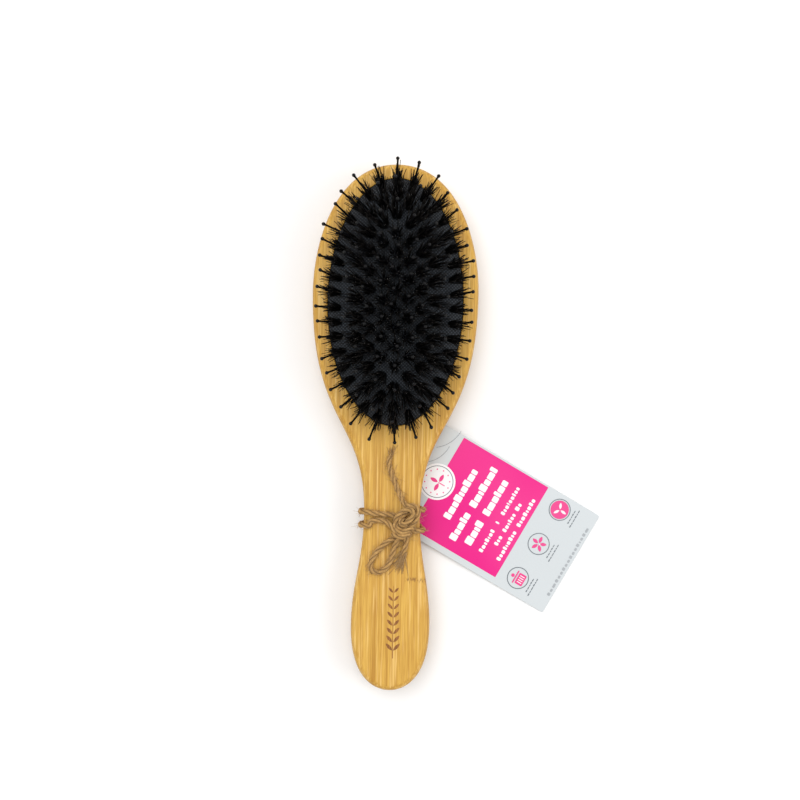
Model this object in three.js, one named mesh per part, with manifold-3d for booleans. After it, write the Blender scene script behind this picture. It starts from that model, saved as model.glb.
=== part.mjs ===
// An oval cushion hair brush lying on its back, bristles up, with a twine bow and a swing tag.
// Millimetres. +X is across the brush, +Y runs from the handle to the tip of the head, +Z is up.
// The origin is under the middle of the brush, on the surface it lies on.

import * as THREE from 'three';
import { mergeVertices } from 'three/addons/utils/BufferGeometryUtils.js';
import { ParametricGeometry } from 'three/addons/geometries/ParametricGeometry.js';
import Module from 'manifold-3d';

const wasm = await Module();
wasm.setup();

// ---- Driving sizes -------------------------------------------------------------------------

// Wooden body, seen from the front
const BRUSH_LENGTH = 230;
const HEAD_WIDTH = 72.6;
const NECK_WIDTH = 24.4;
const HANDLE_WIDTH = 34.4;
const CROWN_LENGTH = 56; // from the tip of the head down to its widest place
const GRIP_LENGTH = 49.5; // from the neck down to the widest place of the handle
const HANDLE_END_LENGTH = 28; // from there to the end of the handle

// Wooden body, seen from the side
const WOOD_THICKNESS = 17;
const FRONT_ROUND = 3; // how far the front edge is rounded over
const NECK_EXTRA_ROUND = 2; // how much wider that rounding is at the neck
const BACK_ROUND = 7.5;
const SIDE_START = 0.18; // depth at which the front rounding ends, as a share of the thickness
const SIDE_END = 0.53; // depth at which the back rounding starts
const NECK_LIFT = 6.2; // how far the back of the neck stands off the surface
const NECK_ARCH_SHARE = 0.342; // how far that arch runs from the neck to the widest place of the head
const NECK_ARCH_FOOT = 35.5; // and towards the handle

// Cushion and the pocket it sits in
const CUSHION_WIDTH = 58.6;
const CUSHION_LENGTH = 107.4;
const CUSHION_TOP_MARGIN = 6.7; // wood left between the cushion and the tip of the head
const CUSHION_RIDGE_LENGTH = 53.2; // length of the straight crest of the dome
const CUSHION_HEIGHT = 9.6;
const CUSHION_FULLNESS = 2.7; // how flat the top is: the exponent of the dome's section
const CUSHION_THICKNESS = 1.2;
const FLANGE_WIDTH = 2;
const FLANGE_THICKNESS = 1.2;
const LIP_THICKNESS = 1.5; // wood over the groove
const POCKET_DEPTH = 7;

// Tufts: one pin in a ring of bristles
const RIM_TUFTS = 38;
const RIM_TUFT_INSET = 4.9; // from the edge of the cushion
const RIM_ARCS = 10; // short rows that the rim tufts are made in
const INNER_COLUMNS = 7;
const COLUMN_END_ROOM = 0.8; // pitches between the last column and the edge of their field
const TUFT_PITCH = 8; // between tufts in one column
const RIM_TO_FIELD = 5.4; // least distance from the rim tufts to the inner ones
const PIN_LENGTH = 17; // above the cushion
const PIN_RADIUS = 0.55;
const PIN_BALL_RADIUS = 0.85;
const BRISTLE_LENGTH = 10;
const BRISTLE_ROOT_RADIUS = 1.1; // at the foot, behind the pad
const BRISTLE_TIP_RADIUS = 2.1;
const BAND_THICKNESS = 0.8; // of the bands that join the feet of a row of tufts
const BAND_GAP = 1.6; // between the bands of two columns
const SEATING = 0.05; // how deep a bundle's foot is sunk in its band
const CUT_PAST = 1; // how far a cutter runs past what it cuts

// Twine and tag
const TWINE_RADIUS = 1.1;
const TWINE_STEP = 1.6; // diameters from one ring of a tube to the next
const TWINE_GAP = 0.4; // from the twine to the wood it is wound round
const TAG_LENGTH = 80.7;
const TAG_WIDTH = 50.4;
const TAG_THICKNESS = 0.4;
const TAG_CORNER_RADIUS = 1;
const TAG_HOLE_RADIUS = TWINE_RADIUS + 1.65;
const TAG_HOLE_FROM_END = 6.5;
const TAG_HOLE_FROM_SIDE = 4.5;
const TAG_CLEAR = 0.392; // between its inner corner and the edge of the head, seen from the front
const TAG_HOLE_OFFSET = [NECK_WIDTH / 4, -4.3]; // from the middle of the neck
const TAG_HOLE_Z = NECK_LIFT - 2 * TWINE_RADIUS - 1.1; // under the turns of twine
const TAG_END_Z = 0.35; // its far end, just off the surface

const CLEARANCE = 0.3; // between pieces that touch on the real brush

// ---- Places that follow from them ----------------------------------------------------------

const TIP_Y = BRUSH_LENGTH / 2;
const HEAD_Y = TIP_Y - CROWN_LENGTH;
const GRIP_Y = -TIP_Y + HANDLE_END_LENGTH;
const NECK_Y = GRIP_Y + GRIP_LENGTH;
const NECK_ARCH_TOP = NECK_ARCH_SHARE * (HEAD_Y - NECK_Y);
const FACE_Z = WOOD_THICKNESS;
const CUSHION_A = CUSHION_LENGTH / 2;
const CUSHION_B = CUSHION_WIDTH / 2;
const CUSHION_Y = TIP_Y - CUSHION_TOP_MARGIN - CUSHION_A;
const RIDGE_HALF = CUSHION_RIDGE_LENGTH / 2;
const FIELD_EDGE = (RIM_TUFT_INSET + RIM_TO_FIELD) / CUSHION_B; // its level line, 0 at the pad's edge
const COLUMN_PITCH = (CUSHION_B * (1 - FIELD_EDGE)) / ((INNER_COLUMNS - 1) / 2 + COLUMN_END_ROOM);
const BAND_WIDTH = COLUMN_PITCH - BAND_GAP;
const TUFT_SEGMENTS = 4;
const OVAL_SEGMENTS = 36;
const TWINE_SIDES = 8;
const KNOT_SIDES = 14;

// ---- Solids ---------------------------------------------------------------------------------

// A closed solid from a geometry: shared points are merged and collapsed triangles dropped.
function solidOf(geometry) {
  const bare = geometry.clone();
  bare.deleteAttribute('normal');
  bare.deleteAttribute('uv');
  const merged = mergeVertices(bare, 1e-4);
  const corners = merged.index.array;
  const kept = [];
  for (let i = 0; i < corners.length; i += 3) {
    const [a, b, c] = [corners[i], corners[i + 1], corners[i + 2]];
    if (a !== b && b !== c && c !== a) kept.push(a, b, c);
  }
  const vertProperties = new Float32Array(merged.attributes.position.array);
  const solid = new wasm.Manifold(
    new wasm.Mesh({ numProp: 3, vertProperties, triVerts: new Uint32Array(kept) })
  );
  if (solid.volume() > 0) return solid;
  for (let i = 0; i < kept.length; i += 3) [kept[i], kept[i + 1]] = [kept[i + 1], kept[i]];
  return new wasm.Manifold(
    new wasm.Mesh({ numProp: 3, vertProperties, triVerts: new Uint32Array(kept) })
  );
}

function geometryOf(solid) {
  const mesh = solid.getMesh();
  const geometry = new THREE.BufferGeometry();
  geometry.setAttribute('position', new THREE.BufferAttribute(mesh.vertProperties, 3));
  geometry.setIndex(new THREE.BufferAttribute(mesh.triVerts, 1));
  return geometry;
}

const joined = (solids) => solids.reduce((whole, one) => whole.add(one));

const cutBy = (solid, cutters) => cutters.reduce((left, one) => left.subtract(one), solid);

function part(name, solid, color, roughness) {
  const material = new THREE.MeshStandardMaterial({ color, roughness, metalness: 0 });
  const mesh = new THREE.Mesh(geometryOf(solid), material);
  mesh.name = name;
  return mesh;
}

// A geometry whose own +Z axis is turned to point along an axis, with its origin at a place.
function stood(geometry, place, axis) {
  const turn = new THREE.Quaternion().setFromUnitVectors(new THREE.Vector3(0, 0, 1), axis);
  return geometry.applyMatrix4(
    new THREE.Matrix4().compose(place, turn, new THREE.Vector3(1, 1, 1))
  );
}

// A shape turned about its own +Z axis: the profile lists radius and height.
function turned(profile, segments) {
  const points = profile.map(([radius, height]) => new THREE.Vector2(radius, height));
  return new THREE.LatheGeometry(points, segments, Math.PI / segments).rotateX(Math.PI / 2);
}

// ---- Wooden body ----------------------------------------------------------------------------

// The right-hand outline from the tip of the head to the end of the handle, in four curves.
function outlineCurves() {
  const [head, neck, grip] = [HEAD_WIDTH / 2, NECK_WIDTH / 2, HANDLE_WIDTH / 2];
  const shoulder = HEAD_Y - NECK_Y;
  const curve = (...pairs) =>
    new THREE.CubicBezierCurve(...pairs.map(([x, y]) => new THREE.Vector2(x, y)));
  return [
    [curve([0, TIP_Y], [0.745 * head, TIP_Y], [head, HEAD_Y + 0.39 * CROWN_LENGTH], [head, HEAD_Y]), 10],
    [curve([head, HEAD_Y], [head, HEAD_Y - 0.61 * shoulder], [neck, NECK_Y + 0.425 * shoulder],
      [neck, NECK_Y]), 12],
    [curve([neck, NECK_Y], [neck, NECK_Y - 0.445 * GRIP_LENGTH], [grip, GRIP_Y + 0.405 * GRIP_LENGTH],
      [grip, GRIP_Y]), 7],
    [curve([grip, GRIP_Y], [grip, GRIP_Y - 0.82 * HANDLE_END_LENGTH], [0.38 * grip, -TIP_Y],
      [0, -TIP_Y]), 9],
  ];
}

// Points of the whole outline with their outward normals, from the tip down the right side and back.
function outlineStations() {
  const right = [];
  for (const [curve, count] of outlineCurves()) {
    for (let i = 0; i < count; i += 1) {
      const tangent = curve.getTangent(i / count);
      right.push({ at: curve.getPoint(i / count), normal: new THREE.Vector2(-tangent.y, tangent.x) });
    }
  }
  right[0] = { at: new THREE.Vector2(0, TIP_Y), normal: new THREE.Vector2(0, 1) };
  right.push({ at: new THREE.Vector2(0, -TIP_Y), normal: new THREE.Vector2(0, -1) });
  const mirror = ({ at, normal }) => ({
    at: new THREE.Vector2(-at.x, at.y),
    normal: new THREE.Vector2(-normal.x, normal.y),
  });
  return [...right, ...right.slice(0, -1).reverse().map(mirror)];
}

// 1 in the middle of the neck's arch and 0 beyond its two ends.
function archShare(y) {
  const top = NECK_Y + NECK_ARCH_TOP;
  const share = (top - y) / (NECK_ARCH_TOP + NECK_ARCH_FOOT);
  return share > 0 && share < 1 ? Math.sin(Math.PI * share) ** 2 : 0;
}

const backZ = (y) => NECK_LIFT * archShare(y);

// Half the wood's section: how far each point lies in from the outline, and how deep as a share.
function sectionProfile(y) {
  const front = FRONT_ROUND + NECK_EXTRA_ROUND * archShare(y);
  const points = [];
  for (const degrees of [0, 25, 50, 70, 90]) {
    const angle = THREE.MathUtils.degToRad(degrees);
    points.push({ inset: front * (1 - Math.sin(angle)), depth: SIDE_START * (1 - Math.cos(angle)) });
  }
  for (const degrees of [0, 20, 40, 58, 74, 90]) {
    const angle = THREE.MathUtils.degToRad(degrees);
    const depth = SIDE_END + (1 - SIDE_END) * Math.sin(angle);
    points.push({ inset: BACK_ROUND * (1 - Math.cos(angle)), depth });
  }
  return points;
}

// The body is a closed surface: stations along the outline, and the section from front to back.
function woodBlank() {
  const stations = outlineStations();
  const count = sectionProfile(0).length;
  const surface = (u, v, target) => {
    const { at, normal } = stations[Math.round(u * (stations.length - 1)) % stations.length];
    const row = Math.round(v * (count + 1));
    const { inset, depth } = sectionProfile(at.y)[Math.min(Math.max(row - 1, 0), count - 1)];
    const [x, y] = [at.x - inset * normal.x, at.y - inset * normal.y];
    const spine = row === 0 || row === count + 1;
    target.set(spine ? 0 : x, y, FACE_Z - depth * (FACE_Z - backZ(y)));
  };
  return solidOf(new ParametricGeometry(surface, stations.length - 1, count + 1));
}

// ---- Cushion --------------------------------------------------------------------------------

// The dome's level lines are ellipses that shrink from its edge, at 0, onto its crest, at 1.
const levelB = (level) => CUSHION_B * (1 - level);
const levelA = (level) => CUSHION_A - level * (CUSHION_A - RIDGE_HALF);
const levelZ = (level) => FACE_Z + CUSHION_HEIGHT * (1 - (1 - level) ** CUSHION_FULLNESS);
const levelOut = (distance) => -distance / CUSHION_B;

// The level line through a place on the cushion, found by halving.
function levelAt(x, y) {
  let [low, high] = [-0.2, 1];
  for (let i = 0; i < 40; i += 1) {
    const level = (low + high) / 2;
    const outside = (x / levelB(level)) ** 2 + ((y - CUSHION_Y) / levelA(level)) ** 2 > 1;
    if (outside) high = level;
    else low = level;
  }
  return low;
}

// A prism on a level line, between two heights.
function ovalPrism(level, low, high) {
  const shape = new THREE.Shape();
  shape.absellipse(0, CUSHION_Y, levelB(level), levelA(level), 0, 2 * Math.PI);
  const options = { depth: high - low, bevelEnabled: false, curveSegments: OVAL_SEGMENTS };
  return solidOf(new THREE.ExtrudeGeometry(shape, options).translate(0, 0, low));
}

function pocketCutters() {
  const lipBack = FACE_Z - LIP_THICKNESS;
  const grooveBack = lipBack - FLANGE_THICKNESS - 2 * CLEARANCE;
  return [
    ovalPrism(levelOut(CLEARANCE), FACE_Z - POCKET_DEPTH, FACE_Z + CUT_PAST),
    ovalPrism(levelOut(FLANGE_WIDTH + CLEARANCE), grooveBack, lipBack),
  ];
}

// The pad's section from the crest out to the flange and back under itself: level and height.
function cushionProfile() {
  const flangeTop = FACE_Z - LIP_THICKNESS - CLEARANCE;
  const flangeBack = flangeTop - FLANGE_THICKNESS;
  const inner = -levelOut(CUSHION_THICKNESS);
  const outerLevels = [1, 0.72, 0.5, 0.33, 0.2, 0.09, 0];
  const innerLevels = [inner, 0.25, 0.55, 1];
  return [
    ...outerLevels.map((level) => [level, levelZ(level)]),
    [0, flangeTop],
    [levelOut(FLANGE_WIDTH), flangeTop],
    [levelOut(FLANGE_WIDTH), flangeBack],
    [inner, flangeBack],
    ...innerLevels.map((level) => [level, levelZ(level) - CUSHION_THICKNESS]),
  ];
}

function cushionPad() {
  const profile = cushionProfile();
  const surface = (u, v, target) => {
    const [level, z] = profile[Math.round(v * (profile.length - 1))];
    const angle = 2 * Math.PI * u;
    target.set(levelB(level) * Math.cos(angle), CUSHION_Y + levelA(level) * Math.sin(angle), z);
  };
  return solidOf(new ParametricGeometry(surface, OVAL_SEGMENTS, profile.length - 1));
}

// ---- Tufts ----------------------------------------------------------------------------------

// A tuft stands square to the dome: its place on the pad and its axis.
function tuftAt(x, y) {
  const step = 0.05;
  const height = (px, py) => levelZ(levelAt(px, py));
  const slopeX = (height(x + step, y) - height(x - step, y)) / (2 * step);
  const slopeY = (height(x, y + step) - height(x, y - step)) / (2 * step);
  return {
    place: new THREE.Vector3(x, y, height(x, y)),
    axis: new THREE.Vector3(-slopeX, -slopeY, 1).normalize(),
  };
}

// The rim tufts stand evenly along one level line, the first on the axis at the tip.
function rimTufts() {
  const level = -levelOut(RIM_TUFT_INSET);
  const curve = new THREE.EllipseCurve(0, CUSHION_Y, levelB(level), levelA(level),
    Math.PI / 2, -1.5 * Math.PI, true);
  curve.arcLengthDivisions = 2000;
  const tufts = [];
  for (let i = 0; i < RIM_TUFTS; i += 1) {
    const { x, y } = curve.getPointAt(i / RIM_TUFTS);
    tufts.push(tuftAt(x, y));
  }
  return tufts;
}

// The inner tufts stand in columns along the brush, every other column shifted by half a pitch.
function fieldColumns() {
  const columns = (INNER_COLUMNS - 1) / 2;
  const places = Math.ceil(levelA(FIELD_EDGE) / TUFT_PITCH);
  const found = [];
  for (let column = -columns; column <= columns; column += 1) {
    const x = column * COLUMN_PITCH;
    const shift = column % 2 === 0 ? 0.5 : 0;
    const tufts = [];
    for (let place = -places; place <= places; place += 1) {
      const y = CUSHION_Y + (place + shift) * TUFT_PITCH;
      if (levelAt(x, y) > FIELD_EDGE) tufts.push(tuftAt(x, y));
    }
    found.push(tufts);
  }
  return found;
}

// Where a tuft's axis meets a height behind the pad.
function footAt({ place, axis }, z) {
  return place.clone().addScaledVector(axis, (z - place.z) / axis.z);
}

// A shape turned about a tuft's axis: the profile lists radius and height over the pad, and a
// height of null is that of the tuft's foot.
function onTuft(tuft, footZ, profile) {
  const foot = footAt(tuft, footZ);
  const rise = foot.distanceTo(tuft.place);
  const points = profile.map(([radius, height]) => [radius, height === null ? 0 : rise + height]);
  return solidOf(stood(turned(points, TUFT_SEGMENTS), foot, tuft.axis));
}

function pinSolid(tuft, footZ) {
  const ballZ = PIN_LENGTH - PIN_BALL_RADIUS;
  return onTuft(tuft, footZ, [[0, null], [PIN_RADIUS, null], [PIN_RADIUS, ballZ - PIN_BALL_RADIUS],
    [PIN_BALL_RADIUS, ballZ], [0, PIN_LENGTH]]);
}

// The bristles of one tuft, as one flared bundle.
function bristleSolid(tuft, footZ) {
  return onTuft(tuft, footZ, [[0, null], [BRISTLE_ROOT_RADIUS, null],
    [BRISTLE_TIP_RADIUS, BRISTLE_LENGTH], [0, BRISTLE_LENGTH]]);
}

// How thick that bundle is where it comes out of the pad.
function bundleRadiusAtPad(tuft, footZ) {
  const rise = footAt(tuft, footZ).distanceTo(tuft.place);
  const share = rise / (rise + BRISTLE_LENGTH);
  return BRISTLE_ROOT_RADIUS + (BRISTLE_TIP_RADIUS - BRISTLE_ROOT_RADIUS) * share;
}

// A straight way along a tuft's axis, for what passes through another piece with clearance.
function wayFor(tuft, footZ, radius, top) {
  const bore = radius + CLEARANCE;
  return onTuft(tuft, footZ, [[0, null], [bore, null], [bore, top], [0, top]]);
}

// The rows of tufts: short arcs of the rim, clockwise from the tip, and the inner columns from left
// to right. Across is the direction in which a row's foot band is widened at each tuft.
function tuftRows() {
  const rim = rimTufts();
  const outward = ({ axis }) => new THREE.Vector2(axis.x, axis.y).normalize();
  const sideways = () => new THREE.Vector2(1, 0);
  const found = [];
  for (let arc = 0; arc < RIM_ARCS; arc += 1) {
    const [from, to] = [arc, arc + 1].map((i) => Math.round((i * RIM_TUFTS) / RIM_ARCS));
    found.push({ name: `rim_${arc + 1}`, tufts: rim.slice(from, to), across: outward });
  }
  fieldColumns().forEach((tufts, i) => {
    found.push({ name: `column_${i + 1}`, tufts, across: sideways });
  });
  return found;
}

// The height of the top of the bristles' foot band: just behind the pad over the row's lowest tuft.
function bandTop(tufts) {
  const lowest = Math.min(...tufts.map(({ place }) => place.z));
  const slope = Math.max(...tufts.map(({ axis }) => Math.hypot(axis.x, axis.y) / axis.z));
  const reach = BAND_WIDTH / 2 + CUSHION_THICKNESS;
  return lowest - CUSHION_THICKNESS - CLEARANCE - reach * slope;
}

// A band behind the pad through the feet of a row of tufts, under a height.
function footBand({ tufts, across }, top) {
  const feet = tufts.map((tuft) => footAt(tuft, top));
  const edge = (sign) => feet.map((foot, i) => {
    const way = across(tufts[i]).multiplyScalar(sign * BAND_WIDTH / 2);
    return new THREE.Vector2(foot.x + way.x, foot.y + way.y);
  });
  const outline = new THREE.Shape([...edge(1), ...edge(-1).reverse()]);
  const options = { depth: BAND_THICKNESS, bevelEnabled: false };
  return solidOf(new THREE.ExtrudeGeometry(outline, options).translate(0, 0, top - BAND_THICKNESS));
}

function bristleRow(row) {
  const top = bandTop(row.tufts);
  const bundles = row.tufts.map((tuft) => bristleSolid(tuft, top - SEATING));
  const ways = row.tufts.map((tuft) =>
    wayFor(tuft, top - BAND_THICKNESS - CUT_PAST, PIN_RADIUS, BRISTLE_LENGTH + CUT_PAST));
  return cutBy(joined([footBand(row, top), ...bundles]), ways);
}

function pinRow(row) {
  const top = bandTop(row.tufts) - BAND_THICKNESS - CLEARANCE;
  const pins = row.tufts.map((tuft) => pinSolid(tuft, top - BAND_THICKNESS / 2));
  return joined([footBand(row, top), ...pins]);
}

function cushion(rows) {
  const holes = rows.flatMap(({ tufts }) => tufts.map((tuft) => {
    const radius = bundleRadiusAtPad(tuft, bandTop(tufts));
    return wayFor(tuft, tuft.place.z - 2 * CUSHION_THICKNESS - CUT_PAST, radius, CUT_PAST);
  }));
  return cutBy(cushionPad(), holes);
}

// ---- Twine ----------------------------------------------------------------------------------

// The free stretches, from the middle of the neck's face: across, towards the head, and the gap
// between the twine and the wood. Both ends of a stretch lie in the knot.
const KNOT_CENTRE = [5.8, -3.2];
const KNOT_RADII = [6.2, 7.4];
const KNOT_HEIGHT = 5.8;
const KNOT_FOOT_BEVEL = 1.4;
const KNOT_SHOULDER = [[0, 2.4], [1.8, 0.6]]; // its rounded top: in from the side, down from the top
const UPPER_TAIL = [
  [5.5, 1.5, 1.5], [4.5, 4.8, 0.9], [3.2, 9, 0.4], [1.4, 13, 0.3], [-0.4, 16.8, 0.3], [-1.6, 21.2, 0.3],
  [-0.8, 24.8, 0.3], [0.6, 27.6, 0.3], [1.8, 29.6, 0.3],
];
const BOW_LOOP = [
  [2.4, -6.5, 1.5], [0, -9.8, 1.1], [-3.2, -13.2, 0.6], [-6.2, -16.6, 0.4], [-8.5, -19.8, 0.4],
  [-9.3, -22.8, 0.4], [-8.4, -25, 0.4], [-6, -25.9, 0.4], [-3.2, -24.6, 0.4], [-1, -21.6, 0.4],
  [0.6, -17.6, 0.4], [1.6, -13.6, 0.7], [2.8, -9, 1.3],
];
const LOWER_TAIL = [
  [6, -6.5, 1.3], [5.8, -9.4, 0.9], [5.4, -12, 0.5], [4.9, -14.8, 0.3], [4.2, -18.8, 0.3],
];
// Under the neck the lower turn goes down through the tag's hole: across as a share of half the
// neck's width, towards the head from the hole, and the gap under the twine.
const UNDER_TAG = [
  [1.008, -1.6, 5.1], [0.820, -0.9, 3.7], [0.631, -0.3, 3], [0.5, 0, 1.8], [0.369, 0.1, 0.6],
  [0.172, 0, 0.3], [-0.238, -0.2, 0.4], [-0.648, -0.5, 1.5], [-0.943, -0.8, 3.9],
];
const UPPER_TURN = { right: 0.6, left: 0.6, start: [6, 1, 0.9], end: [1.5, -1.6, 0.8] };
const LOWER_TURN = { right: -7.4, left: -5.3, start: [7, -6, 0.9], end: [2.5, -6.6, 0.8] };
const KEPT_BESIDE = 7; // points of the neck's side that the lower turn follows before it dips

const neckPoint = ([x, y, gap]) =>
  new THREE.Vector3(x, NECK_Y + y, FACE_Z + TWINE_RADIUS + gap);

// A tube of twine through points, cut off where it enters the knot.
function twineStretch(points, knot) {
  const curve = new THREE.CatmullRomCurve3(points, false, 'centripetal');
  const steps = Math.round(curve.getLength() / (2 * TWINE_RADIUS * TWINE_STEP));
  const ring = new THREE.Shape(new THREE.Path()
    .absarc(0, 0, TWINE_RADIUS, 0, 2 * Math.PI).getSpacedPoints(TWINE_SIDES).slice(0, -1));
  const tube = new THREE.ExtrudeGeometry(ring, { steps, extrudePath: curve });
  return solidOf(tube).subtract(knot);
}

// The knot is a squat bun on the face of the neck, grown by a distance to cut the tubes that enter it.
function knotSolid(grow) {
  const [rx, ry] = KNOT_RADII;
  const top = CLEARANCE + KNOT_HEIGHT + grow;
  const low = CLEARANCE - grow;
  const shoulder = KNOT_SHOULDER.map(([inset, drop]) => [rx + grow - inset, top - drop]);
  const profile = [[0, low], [rx + grow - KNOT_FOOT_BEVEL, low], [rx + grow, low + KNOT_FOOT_BEVEL],
    ...shoulder, [0, top]];
  const shape = turned(profile, KNOT_SIDES).scale(1, (ry + grow) / (rx + grow), 1);
  return solidOf(shape.translate(KNOT_CENTRE[0], NECK_Y + KNOT_CENTRE[1], FACE_Z));
}

// The section of the neck with the twine laid round its right half, from the front to the back.
function besideNeck() {
  const points = sectionProfile(NECK_Y).map(({ inset, depth }) => new THREE.Vector2(
    NECK_WIDTH / 2 - inset, FACE_Z - depth * (FACE_Z - backZ(NECK_Y))));
  const off = TWINE_RADIUS + TWINE_GAP;
  return points.map((point, i) => {
    const before = points[Math.max(i - 1, 0)];
    const after = points[Math.min(i + 1, points.length - 1)];
    const along = after.clone().sub(before).normalize();
    return new THREE.Vector2(point.x - along.y * off, point.y + along.x * off);
  });
}

// One turn round the neck, from the knot down the right side, under, and up the left side.
function turnRoute({ right, left, start, end }, under) {
  const side = besideNeck();
  const down = side.map(({ x, y: z }) => new THREE.Vector3(x, NECK_Y + right, z));
  const up = side.map(({ x, y: z }) => new THREE.Vector3(-x, NECK_Y + left, z)).reverse();
  return [neckPoint(start), ...under(down, up), neckPoint(end)];
}

function twineParts() {
  const knot = knotSolid(0);
  const grown = knotSolid(CLEARANCE);
  const holeY = NECK_Y + TAG_HOLE_OFFSET[1];
  const dip = UNDER_TAG.map(([share, y, gap]) =>
    new THREE.Vector3((share * NECK_WIDTH) / 2, holeY + y, TWINE_RADIUS + gap));
  const plain = (down, up) => [...down, ...up];
  const dipped = (down, up) => [...down.slice(0, KEPT_BESIDE), ...dip, ...up.slice(-KEPT_BESIDE)];
  const stretches = {
    twine_knot: knot,
    twine_upper_turn: twineStretch(turnRoute(UPPER_TURN, plain), grown),
    twine_lower_turn: twineStretch(turnRoute(LOWER_TURN, dipped), grown),
    twine_upper_tail: twineStretch(UPPER_TAIL.map(neckPoint), grown),
    twine_bow_loop: twineStretch(BOW_LOOP.map(neckPoint), grown),
    twine_lower_tail: twineStretch(LOWER_TAIL.map(neckPoint), grown),
  };
  return Object.entries(stretches).map(([name, solid]) => part(name, solid, 0xb08b5a, 0.9));
}

// ---- Swing tag ------------------------------------------------------------------------------

// How far the tag is turned about its hole, so that its inner corner lies the chosen distance clear
// of the edge of the head. Found by halving.
function tagAngle() {
  const shoulder = outlineCurves()[1][0];
  const corner = new THREE.Vector2(-TAG_HOLE_FROM_END, TAG_WIDTH - TAG_HOLE_FROM_SIDE);
  const [holeX, holeY] = TAG_HOLE_OFFSET;
  const gap = (angle) => {
    const { x, y } = corner.clone().rotateAround(new THREE.Vector2(0, 0), angle);
    let [upper, lower] = [0, 1];
    for (let i = 0; i < 30; i += 1) {
      const middle = (upper + lower) / 2;
      if (shoulder.getPoint(middle).y > NECK_Y + holeY + y) upper = middle;
      else lower = middle;
    }
    return holeX + x - shoulder.getPoint(lower).x;
  };
  let [clear, near] = [-Math.PI / 2, 0];
  for (let i = 0; i < 30; i += 1) {
    const middle = (clear + near) / 2;
    if (gap(middle) < TAG_CLEAR) near = middle;
    else clear = middle;
  }
  return clear;
}

// A card with rounded corners, laid from the hole down to the surface.
function swingTag() {
  const [x0, x1] = [-TAG_HOLE_FROM_END, TAG_LENGTH - TAG_HOLE_FROM_END];
  const [y0, y1] = [-TAG_HOLE_FROM_SIDE, TAG_WIDTH - TAG_HOLE_FROM_SIDE];
  const r = TAG_CORNER_RADIUS;
  const outline = new THREE.Shape()
    .absarc(x1 - r, y0 + r, r, -Math.PI / 2, 0)
    .absarc(x1 - r, y1 - r, r, 0, Math.PI / 2)
    .absarc(x0 + r, y1 - r, r, Math.PI / 2, Math.PI)
    .absarc(x0 + r, y0 + r, r, Math.PI, 1.5 * Math.PI);
  outline.holes.push(new THREE.Path().absarc(0, 0, TAG_HOLE_RADIUS, 0, 2 * Math.PI, true));
  const options = { depth: TAG_THICKNESS, bevelEnabled: false, curveSegments: 4 };
  const card = new THREE.ExtrudeGeometry(outline, options).translate(0, 0, -TAG_THICKNESS / 2);
  const mesh = part('swing_tag', solidOf(card), 0xe6e8ea, 0.5);
  const drop = Math.atan((TAG_HOLE_Z - TAG_END_Z) / (TAG_LENGTH - TAG_HOLE_FROM_END));
  mesh.rotation.set(0, drop, tagAngle(), 'ZYX');
  mesh.position.set(TAG_HOLE_OFFSET[0], NECK_Y + TAG_HOLE_OFFSET[1], TAG_HOLE_Z);
  return mesh;
}

// ---- The brush ------------------------------------------------------------------------------

const rows = tuftRows();
const group = new THREE.Group();
group.add(part('wood_body', cutBy(woodBlank(), pocketCutters()), 0xd9ac62, 0.5));
group.add(part('cushion', cushion(rows), 0x17181a, 0.6));
for (const row of rows) {
  group.add(part(`pins_${row.name}`, pinRow(row), 0x0c0c0d, 0.3));
  group.add(part(`bristles_${row.name}`, bristleRow(row), 0x15110f, 0.7));
}
group.add(...twineParts(), swingTag());

export default group;
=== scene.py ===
"""The looks of an oval wooden hair brush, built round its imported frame. Lengths are in metres."""

import math

import bmesh
import bpy
import numpy as np
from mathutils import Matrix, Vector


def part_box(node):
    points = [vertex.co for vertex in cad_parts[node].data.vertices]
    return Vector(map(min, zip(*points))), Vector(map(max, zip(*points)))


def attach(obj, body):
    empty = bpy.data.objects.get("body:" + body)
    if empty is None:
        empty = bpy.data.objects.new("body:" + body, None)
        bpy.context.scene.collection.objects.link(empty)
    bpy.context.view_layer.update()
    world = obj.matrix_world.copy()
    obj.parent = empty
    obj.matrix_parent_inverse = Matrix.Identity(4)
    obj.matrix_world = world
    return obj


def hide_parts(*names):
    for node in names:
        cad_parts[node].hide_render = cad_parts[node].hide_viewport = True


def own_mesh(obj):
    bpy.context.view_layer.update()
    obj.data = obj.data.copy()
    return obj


bl_info = {
    "name": "Oval Cushion Hair Brush",
    "version": (1, 0, 0),
    "blender": (4, 5, 0),
    "location": "3D Viewport > Sidebar > Hair Brush",
    "description": "Builds a wooden brush with a cushion, pins, bristles, twine and a card tag",
    "category": "Add Mesh",
}

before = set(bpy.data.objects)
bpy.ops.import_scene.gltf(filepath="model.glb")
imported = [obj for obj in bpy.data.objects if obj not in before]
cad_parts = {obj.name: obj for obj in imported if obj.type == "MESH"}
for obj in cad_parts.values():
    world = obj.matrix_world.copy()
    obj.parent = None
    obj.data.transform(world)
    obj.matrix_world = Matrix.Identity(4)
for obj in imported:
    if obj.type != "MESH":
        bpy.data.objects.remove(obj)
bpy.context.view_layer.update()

MM = 0.001
TAU = 2 * math.pi

# The wood: its face, its tip, and where the head, the neck and the handle are widest or narrowest
FACE_Z = float(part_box("wood_body")[1][2])
TIP_Y = float(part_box("wood_body")[1][1])
HEAD_Y = TIP_Y - 56 * MM
GRIP_Y = -TIP_Y + 28 * MM
NECK_Y = GRIP_Y + 49.5 * MM
ARCH_TOP_Y = NECK_Y + 33 * MM  # the arch under the neck runs back from here
ARCH_LENGTH = 68.5 * MM
ARCH_LIFT = 6.2 * MM
NODE_Y = -66.5 * MM  # where the cane's node crosses the handle

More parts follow.
